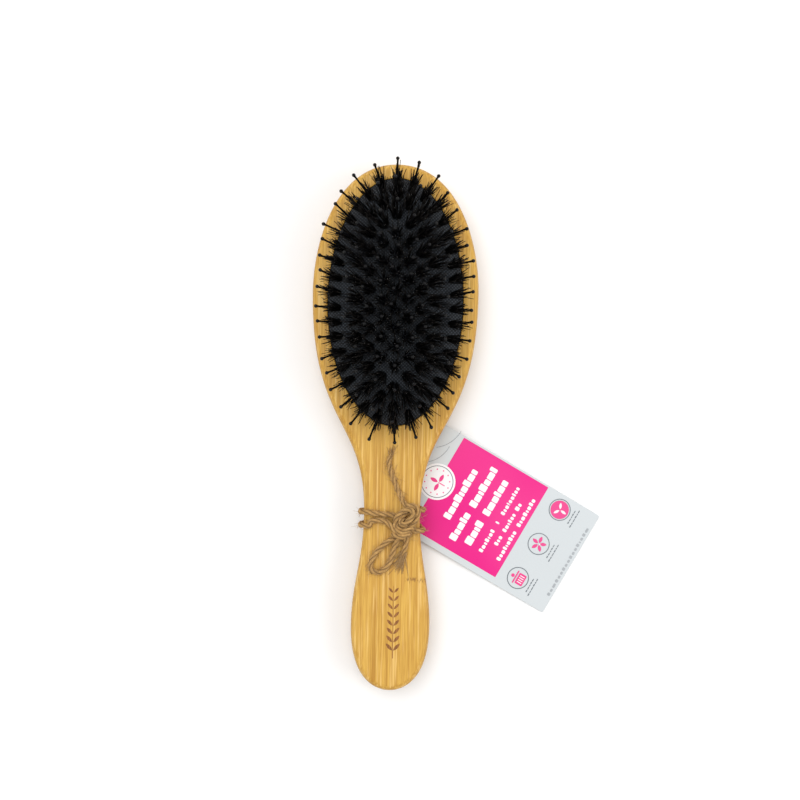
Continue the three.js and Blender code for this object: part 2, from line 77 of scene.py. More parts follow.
# The pocket, with a groove round its mouth that holds the cushion
POCKET_DEPTH = 7 * MM
POCKET_GAP = 0.3 * MM
MOUTH_CHAMFER = 0.35 * MM
GROOVE_OUT = 2.3 * MM
GROOVE_TOP = FACE_Z - 1.5 * MM
GROOVE_HEIGHT = 1.8 * MM

# The cushion: its middle, its half length and width, and half the length of its crest
CUSHION_Y = 54.6 * MM
CUSHION_A = 53.7 * MM
CUSHION_B = 29.3 * MM
RIDGE_HALF = 26.6 * MM
CUSHION_HEIGHT = float(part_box("cushion")[1][2]) - FACE_Z
FLANGE_Z = FACE_Z - 1.8 * MM
FLANGE_OUT = 2 * MM
SKIN = 1.2 * MM

# The tufts: how far in from the cushion's edge, and their pitch
RIM_TUFTS = 38
RIM_INSET = 4.9 * MM
FIELD_INSET = 10.3 * MM
COLUMN_PITCH = 5 * MM
TUFT_PITCH = 8 * MM
RIM_UPRIGHT = 0.88  # the cosine of the lean past which a tuft belongs to the rim
STEEPEST = 0.55  # the steepest slope of an inner tuft

# The card, in millimetres from its hole, and how it hangs
CARD = (-6.5, 74.2, -4.5, 45.9)
CARD_CORNER = 0.9
CARD_BEVEL = 0.1
CARD_HALF = 0.2
HOLE_RADIUS = 2.75
TAG_HOLE = (6.1 * MM, NECK_Y - 4.3 * MM, 2.9 * MM)
TAG_TURN = math.radians(-29.7)
TAG_DROP = math.atan(2.55 / CARD[1])
INK_GAP = 0.02
INK_LAYER = 0.03
INK_THICK = 0.025


# ---- Meshes ----

def grid_quads(rows, columns, copies=1):
    """Quads between neighbouring rows and columns of a grid of points, the last column joined to
    the first, repeated for each copy of the grid."""
    row, column = np.meshgrid(np.arange(rows - 1), np.arange(columns), indexing="ij")
    after = (column + 1) % columns
    quads = np.stack([row * columns + column, row * columns + after,
                      (row + 1) * columns + after, (row + 1) * columns + column], axis=-1)
    shift = np.arange(copies)[:, None, None] * rows * columns
    return (quads.reshape(1, -1, 4) + shift).reshape(-1, 4)


def make_piece(name, points, quads, material, body, uv=None, smooth=True, merge=1e-7):
    """One mesh object: points within the merge distance become one, and faces point outwards."""
    points = np.ascontiguousarray(points, dtype=np.float32).reshape(-1, 3)
    quads = np.ascontiguousarray(quads, dtype=np.int32)
    mesh = bpy.data.meshes.new(name)
    mesh.vertices.add(len(points))
    mesh.vertices.foreach_set("co", points.ravel())
    mesh.loops.add(quads.size)
    mesh.loops.foreach_set("vertex_index", quads.ravel())
    mesh.polygons.add(len(quads))
    mesh.polygons.foreach_set("loop_start", np.arange(0, quads.size, 4, dtype=np.int32))
    mesh.update(calc_edges=True)
    if uv is not None:
        layer = mesh.uv_layers.new(name="UVMap")
        flat = np.asarray(uv, dtype=np.float32).reshape(-1, 2)
        layer.data.foreach_set("uv", flat[quads.ravel()].ravel())
    work = bmesh.new()
    work.from_mesh(mesh)
    bmesh.ops.remove_doubles(work, verts=work.verts, dist=merge)
    bmesh.ops.recalc_face_normals(work, faces=work.faces)
    work.to_mesh(mesh)
    work.free()
    mesh.polygons.foreach_set("use_smooth", np.full(len(mesh.polygons), smooth))
    mesh.materials.append(material)
    piece = bpy.data.objects.new(name, mesh)
    bpy.context.scene.collection.objects.link(piece)
    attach(piece, body)
    return piece


def unit(vectors):
    """The vectors at length one."""
    return vectors / np.maximum(np.linalg.norm(vectors, axis=-1, keepdims=True), 1e-12)


def travel(line):
    """The length travelled along a line at each of its points."""
    return np.concatenate([[0], np.cumsum(np.linalg.norm(np.diff(line, axis=0), axis=1))])


def turned(points, angle):
    """Flat points turned about the origin."""
    cos, sin = math.cos(angle), math.sin(angle)
    return points @ np.array([[cos, sin], [-sin, cos]])


def stacked(*rings):
    """Outlines at their heights as the rows of one grid."""
    return np.stack([np.column_stack([ring, np.full(len(ring), height)]) for ring, height in rings])


def bent_lines(start, way, bend, lengths, share):
    """Lines from their starts along their ways, each bent by the square of the share of its
    length."""
    return start[:, None] + way * lengths * share + bend * lengths * share ** 2


def straight_tubes(centres, radii, sides, tones):
    """Closed tubes round many nearly straight lines. centres is lines x rings x 3 and radii is
    lines x rings. A ring is its centre plus its radius times (across cos a + upright sin a). The UV
    map holds each line's own tone and the share of its length."""
    centres = np.concatenate([centres[:, :1], centres, centres[:, -1:]], axis=1)
    radii = np.pad(radii, ((0, 0), (1, 1)))
    along = unit(centres[:, -1] - centres[:, 0])
    helper = np.where(np.abs(along[:, :1]) > 0.8, [[0.0, 1.0, 0.0]], [[1.0, 0.0, 0.0]])
    across = unit(np.cross(along, helper))
    upright = np.cross(along, across)
    angle = np.arange(sides) * TAU / sides
    ring = (across[:, None, None] * np.cos(angle)[:, None]
            + upright[:, None, None] * np.sin(angle)[:, None])
    points = centres[:, :, None] + radii[:, :, None, None] * ring
    lines, rings = centres.shape[:2]
    share = np.linspace(0, 1, rings)[None, :, None]
    uv = np.stack(np.broadcast_arrays(tones[:, None, None], share + 0 * angle), axis=-1)
    return points, grid_quads(rings, sides, copies=lines), uv


# ---- Paint: shader maths written as Python expressions ----

class Value:
    """A socket of a material. Operators on it add Math nodes."""

    def __init__(self, paint, socket):
        self.paint = paint
        self.socket = socket

    def maths(self, operation, *others, reflected=False):
        values = [self, *others]
        if reflected:
            values.reverse()
        return self.paint.node("ShaderNodeMath", dict(enumerate(values)), operation=operation)

    def __add__(self, other):
        return self.maths("ADD", other)

    def __sub__(self, other):
        return self.maths("SUBTRACT", other)

    def __rsub__(self, other):
        return self.maths("SUBTRACT", other, reflected=True)

    def __mul__(self, other):
        return self.maths("MULTIPLY", other)

    __radd__ = __add__
    __rmul__ = __mul__

    def sine(self):
        return self.maths("SINE")

    def size(self):
        return self.maths("ABSOLUTE")

    def ramp(self, low, high):
        """0 below low and 1 above high, smooth in between."""
        values = {0: self, 1: low, 2: high}
        return self.paint.node("ShaderNodeMapRange", values, interpolation_type="SMOOTHSTEP")


class Paint:
    """One material and its node tree."""

    def __init__(self, name):
        self.material = bpy.data.materials.new(name)
        self.material.use_nodes = True
        self.tree = self.material.node_tree
        self.tree.nodes.clear()

    def node(self, kind, values, out=0, **settings):
        """Adds a node, its settings first and then its sockets' values or links."""
        made = self.tree.nodes.new(kind)
        for key, setting in settings.items():
            setattr(made, key, setting)
        for key, value in values.items():
            if isinstance(value, Value):
                self.tree.links.new(value.socket, made.inputs[key])
            else:
                made.inputs[key].default_value = value
        return Value(self, made.outputs[out])

    def coordinates(self, kind="Object"):
        return self.node("ShaderNodeTexCoord", {}, out=kind)

    def mapped(self, scale, turn=0.0, shift=(0, 0, 0), kind="Object"):
        """Coordinates times one scale or three, turned about z and shifted."""
        scale = scale if isinstance(scale, tuple) else (scale, scale, scale)
        values = {"Vector": self.coordinates(kind), "Scale": scale, "Rotation": (0, 0, turn),
                  "Location": shift}
        return self.node("ShaderNodeMapping", values)

    def parts(self, vector):
        """The x, y and z of a vector."""
        split = self.node("ShaderNodeSeparateXYZ", {0: vector})
        return [Value(self, socket) for socket in split.socket.node.outputs]

    def noise(self, scale, detail=2.0, roughness=0.5, **place):
        """Noise from 0 to 1, with this many lumps to the metre."""
        values = {"Vector": self.mapped(scale, **place), "Scale": 1.0, "Detail": detail,
                  "Roughness": roughness}
        return self.node("ShaderNodeTexNoise", values)

    def mix(self, share, first, second):
        """The first colour where the share is 0 and the second where it is 1."""
        values = {0: share, 6: colour(first), 7: colour(second)}
        return self.node("ShaderNodeMix", values, out=2, data_type="RGBA")

    def bump(self, height, depth, strength=1.0):
        values = {"Height": height, "Distance": depth, "Strength": strength}
        return self.node("ShaderNodeBump", values)

    def finish(self, **sockets):
        """Ends in a Principled shader with these sockets, their names written with underscores."""
        values = {key.replace("_", " "): colour(value) if key == "Base_Color" else value
                  for key, value in sockets.items()}
        shader = self.node("ShaderNodeBsdfPrincipled", values)
        output = self.tree.nodes.new("ShaderNodeOutputMaterial")
        self.tree.links.new(shader.socket, output.inputs["Surface"])
        return self.material


def colour(value):
    """A colour socket's four numbers from three, or a link as it is."""
    return value if isinstance(value, Value) else (*value[:3], 1.0)


# ---- Sizes and colours a user would change ----

def length(label, about, default):
    return bpy.props.FloatProperty(name=label, description=about, default=default, min=0.0,
                                   subtype="DISTANCE", unit="LENGTH", precision=4)


def tint(label, about, default):
    return bpy.props.FloatVectorProperty(name=label, description=about, default=default, size=3,
                                         min=0.0, max=1.0, subtype="COLOR")


class WoodSettings(bpy.types.PropertyGroup):
    head_width: length("Head Width", "Widest part of the head", 72.6 * MM)
    neck_width: length("Neck Width", "Narrowest part of the neck", 24.4 * MM)
    handle_width: length("Handle Width", "Widest part of the handle", 34.4 * MM)
    front_round: length("Front Rounding", "How far the front edge is rounded over", 3 * MM)
    back_round: length("Back Rounding", "How far the back edge is rounded over", 7.5 * MM)
    light: tint("Light Wood", "Colour between the grain lines", (0.725, 0.435, 0.082))
    dark: tint("Dark Wood", "Colour of the grain lines", (0.465, 0.232, 0.030))
    burnt: tint("Burnt Mark", "Colour of the ornament on the handle", (0.33, 0.135, 0.032))


class CushionSettings(bpy.types.PropertyGroup):
    weave: length("Weave Pitch", "Distance between the threads pressed into the rubber", 1.05 * MM)
    tone: tint("Rubber", "Colour of the rubber", (0.0036, 0.0045, 0.0058))


class TuftSettings(bpy.types.PropertyGroup):
    pin_length: length("Pin Length", "Length of a pin above the cushion", 17 * MM)
    pin_radius: length("Pin Radius", "Radius of a pin's shaft", 0.48 * MM)
    ball_radius: length("Ball Radius", "Radius of the ball on a pin", 0.82 * MM)
    bristle_length: length("Bristle Length", "Usual length above the cushion", 10 * MM)
    bristles: bpy.props.IntProperty(name="Bristles", description="Bristles in one tuft", default=60,
                                    min=6, max=90)
    root: tint("Bristle", "Colour of the bristles", (0.0022, 0.0020, 0.0020))
    tip: tint("Bristle Tip", "Colour of the ends of the bristles", (0.011, 0.0075, 0.0055))


class TwineSettings(bpy.types.PropertyGroup):
    radius: length("Twine Radius", "Radius over the three plies", 1.2 * MM)
    lay: length("Lay", "Length of one whole twist", 12.5 * MM)
    light: tint("Light Jute", "Colour of the fibres", (0.60, 0.360, 0.128))
    # The dark jute colour is painted shade between the plies, and it also flecks the loose fibres.
    dark: tint("Dark Jute", "Colour between the plies", (0.135, 0.070, 0.024))


class TagSettings(bpy.types.PropertyGroup):
    card: tint("Card", "Colour of the card", (0.63, 0.665, 0.68))
    panel: tint("Panel", "Colour of the printed panel", (0.75, 0.010, 0.225))
    ink: tint("Grey Ink", "Colour of the fine grey print", (0.13, 0.15, 0.17))


class StageSettings(bpy.types.PropertyGroup):
    camera_height: length("Camera Height", "Height of the camera over the floor", 0.517)
    lens: bpy.props.FloatProperty(name="Lens", description="Focal length in millimetres",
                                  default=51.7, min=10, max=200)
    floor: tint("Floor", "Colour of the floor", (0.93, 0.93, 0.93))


# ---- Wood ----

def bezier(corners, t):
    """Points and unit tangents of a cubic curve: the sum of its four corners, each weighted by its
    Bernstein polynomial in t."""
    a, b, c, d = (np.array(corner) for corner in corners)
    t = t[:, None]
    at = a * (1 - t) ** 3 + 3 * b * t * (1 - t) ** 2 + 3 * c * t ** 2 * (1 - t) + d * t ** 3
    way = (b - a) * (1 - t) ** 2 + 2 * (c - b) * t * (1 - t) + (d - c) * t ** 2
    return at, unit(way)


def wood_outline(wood):
    """The right-hand outline from the tip to the end of the handle, in four cubic curves, with its
    outward normals."""
    head, neck, grip = wood.head_width / 2, wood.neck_width / 2, wood.handle_width / 2
    shoulder, waist = HEAD_Y - NECK_Y, NECK_Y - GRIP_Y
    crown, end = TIP_Y - HEAD_Y, GRIP_Y + TIP_Y
    curves = [
        ([(0, TIP_Y), (0.745 * head, TIP_Y), (head, HEAD_Y + 0.39 * crown), (head, HEAD_Y)], 64),
        ([(head, HEAD_Y), (head, HEAD_Y - 0.61 * shoulder), (neck, NECK_Y + 0.425 * shoulder),
          (neck, NECK_Y)], 80),
        ([(neck, NECK_Y), (neck, NECK_Y - 0.445 * waist), (grip, GRIP_Y + 0.405 * waist),
          (grip, GRIP_Y)], 40),
        ([(grip, GRIP_Y), (grip, GRIP_Y - 0.82 * end), (0.38 * grip, -TIP_Y), (0, -TIP_Y)], 56),
    ]
    pieces = [bezier(corners, np.arange(count) / count) for corners, count in curves]
    at = np.concatenate([place for place, _ in pieces] + [[(0, -TIP_Y)]])
    way = np.concatenate([tangent for _, tangent in pieces] + [[(-1, 0)]])
    return at, np.stack([-way[:, 1], way[:, 0]], axis=1)


def arch_share(y):
    """The square of a sine: 1 in the middle of the neck's arch and 0 beyond its ends."""
    return np.sin(np.pi * np.clip((ARCH_TOP_Y - y) / ARCH_LENGTH, 0, 1)) ** 2


def wood_section(wood, y):
    """Half the section at each y: how far in from the outline and how high, as two quarter ellipses
    joined by a straight side. The front edge is rounder along the neck."""
    arch = arch_share(y)[:, None]
    front = wood.front_round + 2 * MM * arch
    first = np.linspace(0, np.pi / 2, 9)[None]
    second = np.linspace(0, np.pi / 2, 15)[None]
    inset = np.concatenate([front * (1 - np.sin(first)),
                            wood.back_round * (1 - np.cos(second)) + 0 * front], axis=1)
    depth = np.concatenate([0.18 * (1 - np.cos(first)), 0.53 + 0.47 * np.sin(second)], axis=1)
    return inset, FACE_Z - depth * (FACE_Z - ARCH_LIFT * arch)


def level_sizes(level):
    """The dome's level ellipses shrink evenly from its edge, level 0, onto its crest, level 1."""
    return CUSHION_B * (1 - level), CUSHION_A - level * (CUSHION_A - RIDGE_HALF)


def level_z(level):
    """Height over the level: a power curve that is steep at the edge and flat at the crest."""
    return FACE_Z + CUSHION_HEIGHT * (1 - np.clip(1 - level, 0, None) ** 2.7)


def level_in(distance):
    """The level that lies this far in from the dome's edge at its widest place."""
    return distance / CUSHION_B


def level_rings(level, height, angle):
    """Points round level lines at their heights: the middle plus (b sin, a cos) of the angle."""
    b, a = level_sizes(level[:, None])
    return np.stack([b * np.sin(angle), CUSHION_Y + a * np.cos(angle), height[:, None] + 0 * angle],
                    axis=2)


def mirrored(half):
    """A half outline followed by its mirror image, back towards its start."""
    return np.concatenate([half, half[-2:0:-1] * [-1, 1]])


def wood_mesh(wood):
    """Stations run round the outline and the section runs from the middle of the front, over the
    edge, to the middle of the back. The front's inner line is the pocket's mouth along the head and
    the brush's own axis along the neck and handle."""
    right, normal = wood_outline(wood)
    at, normal = mirrored(right), mirrored(normal)
    inset, z = wood_section(wood, at[:, 1])
    loops = at[:, None] - inset[:, :, None] * normal[:, None]
    skin = np.concatenate([loops, z[:, :, None]], axis=2)
    mouth = level_in(-POCKET_GAP)
    mouth_top = mouth - level_in(MOUTH_CHAMFER)
    mouth_b, mouth_a = level_sizes(mouth_top)
    beside = right[:, 1] >= CUSHION_Y - mouth_a
    count = int(beside.sum())
    travelled = travel(right)
    angle = np.pi * np.clip(travelled / travelled[count], 0, 1)
    inner = np.stack([np.sin(angle) * mouth_b, CUSHION_Y + np.cos(angle) * mouth_a], axis=1)
    spine_y = skin[:len(right), 0, 1]
    spine = np.stack([0 * spine_y, np.minimum(spine_y, inner[count, 1])], axis=1)
    inner[count + 1:] = spine[count + 1:]
    inner = mirrored(inner)
    inner = np.column_stack([inner, np.full(len(inner), FACE_Z)])
    back = skin[:, -1] * [0, 1, 1]
    steps = np.linspace(0, 1, 7)[1:-1, None, None]  # the rows that fill the front and the back
    front_rows = inner + (skin[:, 0] - inner) * steps
    back_rows = skin[:, -1] + (back - skin[:, -1]) * steps
    rows = np.concatenate([inner[None], front_rows, skin.transpose(1, 0, 2), back_rows, back[None]])
    body_quads = grid_quads(len(rows), len(at))
    turn = np.concatenate([angle[:count + 1], TAU - angle[count - 1:0:-1]])
    groove, floor = level_in(-GROOVE_OUT), FACE_Z - POCKET_DEPTH
    curve = 0.1 * MM
    profile = [(mouth_top, FACE_Z), (mouth - level_in(curve), FACE_Z - curve),
               (mouth, FACE_Z - MOUTH_CHAMFER), (mouth, GROOVE_TOP), (groove, GROOVE_TOP),
               (groove, GROOVE_TOP - GROOVE_HEIGHT), (mouth, GROOVE_TOP - GROOVE_HEIGHT),
               (mouth, floor), (0.5, floor), (1, floor)]
    pocket = level_rings(*np.array(profile).T, turn)
    pocket_quads = grid_quads(len(profile), len(turn)) + rows.shape[0] * rows.shape[1]
    points = np.concatenate([rows.reshape(-1, 3), pocket.reshape(-1, 3)])
    return points, np.concatenate([body_quads, pocket_quads])


def wood_paint(wood):
    """Bamboo: strips a few millimetres wide, fine lines, dark hairs and a pale glow along them,
    short dark dashes, a side darker below the face that is partly its own side grain and partly
    painted shade, and a node across part of the handle."""
    paint = Paint("bamboo")
    x, y, z = paint.parts(paint.coordinates())
    strips = paint.noise((230, 3.5, 230), 1.0)
    lines = paint.noise((1750, 22, 1750), 3.0, 0.68, turn=0.012)
    dashes = paint.noise((3300, 95, 3300), 1.0, shift=(3, 5, 7))
    hairs = paint.noise((2700, 62, 2700), 2.0, 0.6, turn=-0.02, shift=(7, 1, 2))
    glow = paint.noise((760, 24, 760), 3.0, 0.6, shift=(2, 9, 4))
    ripple = paint.noise((160, 60, 160))
    along = 1 - (y - NODE_Y + (ripple - 0.5) * (2.4 * MM)).size().ramp(0.2 * MM, 1.5 * MM)
    spots = paint.noise((1300, 420, 1300)).ramp(0.5, 0.62)
    node = along * x.ramp(5 * MM, 8 * MM) * spots
    # Partly painted shade: below the face the rounded edge and side darken, partly for the darker
    # side grain and partly as the shade the lights would give there.
    side = 1 - z.ramp(FACE_Z - 3.2 * MM, FACE_Z - 0.25 * MM)
    grain = lines.ramp(0.37, 0.66) * 0.72 + strips.ramp(0.32, 0.70) * 0.36
    base = paint.mix(grain, wood.light, wood.dark)
    for share, tone in ((hairs.ramp(0.50, 0.62) * 0.52, (0.47, 0.215, 0.026)),
                        (glow.ramp(0.52, 0.66) * 0.55, (0.88, 0.59, 0.21)),
                        (dashes.ramp(0.60, 0.74) * 0.34, (0.36, 0.155, 0.03)),
                        # darker below the face: partly side grain, partly painted shade on the
                        # rounded edge
                        (side * 0.45, (0.40, 0.235, 0.085)),
                        (node * 0.75, (0.21, 0.085, 0.02))):
        base = paint.mix(share, base, tone)
    fibre = lines * 0.5 + hairs * 0.3 + dashes * 0.2 - node * 0.5
    return paint.finish(Base_Color=base, Roughness=0.42 + 0.16 * lines,
                        Normal=paint.bump(fibre, 0.05 * MM, 0.55), Specular_IOR_Level=0.35)


def leaf_points(count, wide):
    """A pointed leaf from 0 to 1 along x: its half width is a sine to the power 0.8."""
    t = np.linspace(0, 1, count)
    half = wide * np.sin(np.pi * t) ** 0.8
    upper = np.stack([t, half], axis=1)
    return np.concatenate([upper, (upper * [1, -1])[-2:0:-1]])


def slab(outline, low, high):
    """A closed flat plate: its outline drawn in to its middle, low and high."""
    outline = np.asarray(outline)
    middle = np.broadcast_to(outline.mean(axis=0), outline.shape)
    rows = stacked((middle, low), (outline, low), (outline, high), (middle, high))
    return rows, grid_quads(4, len(outline))


def ring_slab(outer, inner, low, high):
    """A closed flat ring between two outlines of as many points."""
    rows = stacked((inner, low), (outer, low), (outer, high), (inner, high), (inner, low))
    return rows, grid_quads(5, len(outer))


def together(plates):
    """Several grids as one list of points and one of quads."""
    counts = np.cumsum([0] + [points.reshape(-1, 3).shape[0] for points, _ in plates])
    points = np.concatenate([points.reshape(-1, 3) for points, _ in plates])
    quads = np.concatenate([quads + start for (_, quads), start in zip(plates, counts)])
    return points, quads


def sprig_plates():
    """A straight stem with pairs of leaves that shrink towards its tip."""
    centre, bottom, top = 1.3 * MM, -100.5 * MM, -69 * MM
    low, high = FACE_Z - 0.05 * MM, FACE_Z + 0.03 * MM
    half = 0.18 * MM
    stem = [(centre - half, bottom), (centre + half, bottom), (centre + 0.4 * half, top),
            (centre - 0.4 * half, top)]
    plates = [slab(stem, low, high)]
    for share in np.linspace(0.10, 0.90, 8):
        size = (4.3 - 1.5 * share) * MM
        for side in (-1, 1):
            leaf = leaf_points(9, 0.17) * size + [0.35 * MM, 0]
            leaf = turned(leaf, math.radians(90 - side * 42))
            plates.append(slab(leaf + [centre, bottom + share * (top - bottom)], low, high))
    return together(plates)


def burnt_paint(wood):
    """Scorched wood: brown, darker in blots along the grain."""
    paint = Paint("burnt_wood")
    blots = paint.noise((1400, 160, 1400))
    base = paint.mix(blots.ramp(0.35, 0.7), wood.burnt, (0.20, 0.075, 0.018))
    return paint.finish(Base_Color=base, Roughness=0.75 + 0.1 * blots,
                        Normal=paint.bump(blots, 0.03 * MM, 0.5))


class BRUSH_OT_wood(bpy.types.Operator):
    """The wooden body with its pocket, and the burnt ornament on its handle"""
    bl_idname = "hairbrush.wood"
    bl_label = "Wooden Body"

    def execute(self, context):
        wood = context.scene.hairbrush_wood
        points, quads = wood_mesh(wood)
        body = make_piece("wooden_body", points, quads, wood_paint(wood), "brush")
        body.data.shade_smooth()
        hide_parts("wood_body")
        points, quads = sprig_plates()
        make_piece("burnt_sprig", points, quads, burnt_paint(wood), "brush", smooth=False)
        return {"FINISHED"}


# ---- Cushion ----

def level_at(x, y):
    """The level line through each place, by halving."""
    low, high = np.full(np.shape(x), -0.2), np.full(np.shape(x), 1.0)
    for _ in range(36):
        level = (low + high) / 2
        b, a = level_sizes(level)
        outside = (x / np.maximum(b, 1e-9)) ** 2 + ((y - CUSHION_Y) / a) ** 2 > 1
        high = np.where(outside, level, high)
        low = np.where(outside, low, level)
    return low


def tuft_stands(places):
    """Where each tuft stands on the dome, and the dome's normal there."""
    x, y = places.T
    step = 0.05 * MM
    z = level_z(level_at(x, y))
    slope_x = (level_z(level_at(x + step, y)) - level_z(level_at(x - step, y))) / (2 * step)
    slope_y = (level_z(level_at(x, y + step)) - level_z(level_at(x, y - step))) / (2 * step)
    return np.stack([x, y, z], axis=1), unit(np.stack([-slope_x, -slope_y, 1 + 0 * x], axis=1))


def tuft_rows():
    """The rows of tufts: the rim evenly along one level line, and staggered columns inside it."""
    rim = np.array([level_in(RIM_INSET)])
    line = level_rings(rim, 0 * rim, np.linspace(0, TAU, 4001))[0, :, :2]
    travelled = travel(line)
    at = np.arange(RIM_TUFTS) / RIM_TUFTS * travelled[-1]
    rows = {"rim": np.stack([np.interp(at, travelled, line[:, k]) for k in (0, 1)], axis=1)}
    for number, column in enumerate(range(-3, 4), 1):
        places = np.arange(-6, 7) + (0.5 if column % 2 == 0 else 0)
        column_y = CUSHION_Y + places * TUFT_PITCH
        column_x = np.full(len(column_y), column * COLUMN_PITCH)
        kept = level_at(column_x, column_y) > level_in(FIELD_INSET)
        rows[f"column_{number}"] = np.stack([column_x, column_y], axis=1)[kept]
    return {name: tuft_stands(places) for name, places in rows.items()}


def cushion_mesh(rows):
    """The dome's section, from the crest over its edge and flange and back inside, carried round
    its level ellipses. The skin is drawn in a little where a tuft comes through."""
    outer_level = 1 - np.linspace(0, 1, 54) ** 0.72
    inner_level = np.linspace(level_in(SKIN), 1, 14)
    flange = level_in(-FLANGE_OUT)
    level = np.concatenate([outer_level, [0, flange, flange, inner_level[0]], inner_level])
    height = np.concatenate([level_z(outer_level), [FLANGE_Z] * 2, [FLANGE_Z - SKIN] * 2,
                             level_z(inner_level) - SKIN])
    angle = np.arange(240) * TAU / 240
    points = level_rings(level, height, angle)
    stands = np.concatenate([at for at, _ in rows.values()])[:, :2]
    near = np.full(points.shape[:2], 1.0)
    for stand in stands:
        near = np.minimum(near, np.linalg.norm(points[:, :, :2] - stand, axis=2))
    dimple = 0.35 * MM * np.exp(-(near / (1.5 * MM)) ** 2)
    points[:, :, 2] -= np.where((level > 0.02) & (height > FACE_Z), 1.0, 0.0)[:, None] * dimple
    return points, grid_quads(len(level), len(angle))


def rubber_paint(cushion):
    """Rubber with a fabric pressed into it: two sets of threads crossing at a right angle, set
    diagonally, and a fine speckle."""
    paint = Paint("black_rubber")
    u, v, _ = paint.parts(paint.mapped(math.pi / cushion.weave, turn=math.radians(45)))
    dots = u.sine().size() * v.sine().size()
    weave = dots * dots
    dust = paint.noise(700, 3.0, 0.6)
    broad = paint.noise(45, 1.0)
    base = paint.mix(weave * 0.85 + dust * 0.25, cushion.tone, (0.060, 0.070, 0.084))
    base = paint.mix(broad.ramp(0.4, 0.75) * 0.25, base, (0.014, 0.016, 0.020))
    return paint.finish(Base_Color=base, Roughness=0.62 - 0.22 * weave + 0.1 * dust,
                        Normal=paint.bump(weave + dust * 0.3, 0.14 * MM, 0.8),
                        Specular_IOR_Level=0.14)


class BRUSH_OT_cushion(bpy.types.Operator):
    """The sprung rubber cushion as a fixed dome; the real one flattens when pressed"""
    bl_idname = "hairbrush.cushion"
    bl_label = "Cushion"

    def execute(self, context):
        points, quads = cushion_mesh(tuft_rows())
        paint = rubber_paint(context.scene.hairbrush_cushion)
        pad = make_piece("cushion_pad", points, quads, paint, "brush")
        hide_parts("cushion")
        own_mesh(pad)
        return {"FINISHED"}


# ---- Pins and bristles ----

def leaning(axis, across, along):
    """Inner tufts lean out further, their slopes multiplied by these factors up to a steepest one.
    Rim tufts only lean further towards the tip, and most towards the handle."""
    inner = axis[:, 2] > RIM_UPRIGHT
    rim_along = np.where(axis[:, 1] < 0, 1.5, 1.2)
    factors = np.stack([np.where(inner, across, 1), np.where(inner, along, rim_along)], axis=1)
    slope = axis[:, :2] / axis[:, 2:] * factors
    steep = np.maximum(np.linalg.norm(slope, axis=1, keepdims=True), 1e-9)
    slope = slope * np.where(inner[:, None], np.minimum(1, STEEPEST / steep), 1)
    return unit(np.column_stack([slope, np.ones(len(axis))]))


def pin_tubes(at, axis, tufts, chance):
    """Ball-tipped pins: a line along each tuft's axis, leaning a little and bent by a square law,
    with a radius for the foot behind the pad, the shaft and the ball."""
    reach, ball, shaft = tufts.pin_length, tufts.ball_radius, tufts.pin_radius
    foot = 1.3 * MM
    turn = np.linspace(-0.9, 1.35, 6)
    height = np.concatenate([[-3.2 * MM, -2.8 * MM, -2.6 * MM, 0, reach * 0.4, reach * 0.8],
                             reach - ball + ball * np.sin(turn)])
    radius = np.concatenate([[foot, foot, shaft * 1.1, shaft * 1.1, shaft, shaft * 0.85],
                             ball * np.cos(turn)])
    axis = leaning(axis, 1.35, 1.8)
    lean = chance.normal(0, 0.045, (len(at), 3))
    bend = chance.normal(0, 0.03, (len(at), 3))
    axis = unit(axis + lean * [1, 1, 0])
    share = np.clip(height / reach, 0, 1)[:, None]
    centres = at[:, None] + axis[:, None] * height[:, None] + bend[:, None] * share ** 2 * reach
    radii = np.broadcast_to(radius, (len(at), len(radius)))
    return straight_tubes(centres, radii, 8, chance.random(len(at)))


def bristle_tubes(at, axis, tufts, chance):
    """Bristles: each stands in a ring round its pin, and leans out from the pin as it rises, by a
    share of its place in the ring, with its own length and bend."""
    each, rooted = tufts.bristles, 1.6 * MM
    lines = len(at) * each
    inner = np.repeat(axis[:, 2] > RIM_UPRIGHT, each)
    axis = leaning(axis, 2.0, 3.0)
    angle = chance.random((len(at), each)) * TAU
    place = np.sqrt(0.14 + 0.86 * chance.random((len(at), each)))
    side = unit(np.cross(axis, [[0.0, 1.0, 0.0]]))
    other = np.cross(axis, side)
    out = (side[:, None] * np.cos(angle)[..., None] + other[:, None] * np.sin(angle)[..., None])
    out = (out * place[..., None]).reshape(lines, 3)
    ring = np.where(inner, 1.5 * MM, 1.1 * MM)[:, None]
    root = np.repeat(at - axis * rooted, each, axis=0) + out * ring
    reach = tufts.bristle_length * np.where(inner, 1.2, 1.05) + rooted
    lengths = (reach * (0.62 + 0.48 * chance.random(lines) ** 1.3))[:, None, None]
    splay = out * np.where(inner, 0.19, 0.10)[:, None] + chance.normal(0, 0.048, (lines, 3))
    way = unit(np.repeat(axis, each, axis=0) + splay)
    bend = chance.normal(0, 0.055, (lines, 3)) + out * 0.04
    share = np.array([0.0, 0.4, 0.75, 1.0])[:, None]
    centres = bent_lines(root, way[:, None], bend[:, None], lengths, share)
    thick = 0.17 * MM * (0.8 + 0.4 * chance.random(lines))
    radii = thick[:, None] * np.array([1.0, 1.0, 0.95, 0.8])
    return straight_tubes(centres, radii, 3, chance.random(lines))


def pin_paint():
    """Glossy black moulded plastic with a faint mottle."""
    paint = Paint("black_nylon")
    mottle = paint.noise(900)
    base = paint.mix(mottle, (0.0015, 0.0015, 0.0015), (0.006, 0.006, 0.007))
    return paint.finish(Base_Color=base, Roughness=0.24 + 0.12 * mottle,
                        Specular_IOR_Level=0.16, Normal=paint.bump(mottle, 0.02 * MM, 0.3))


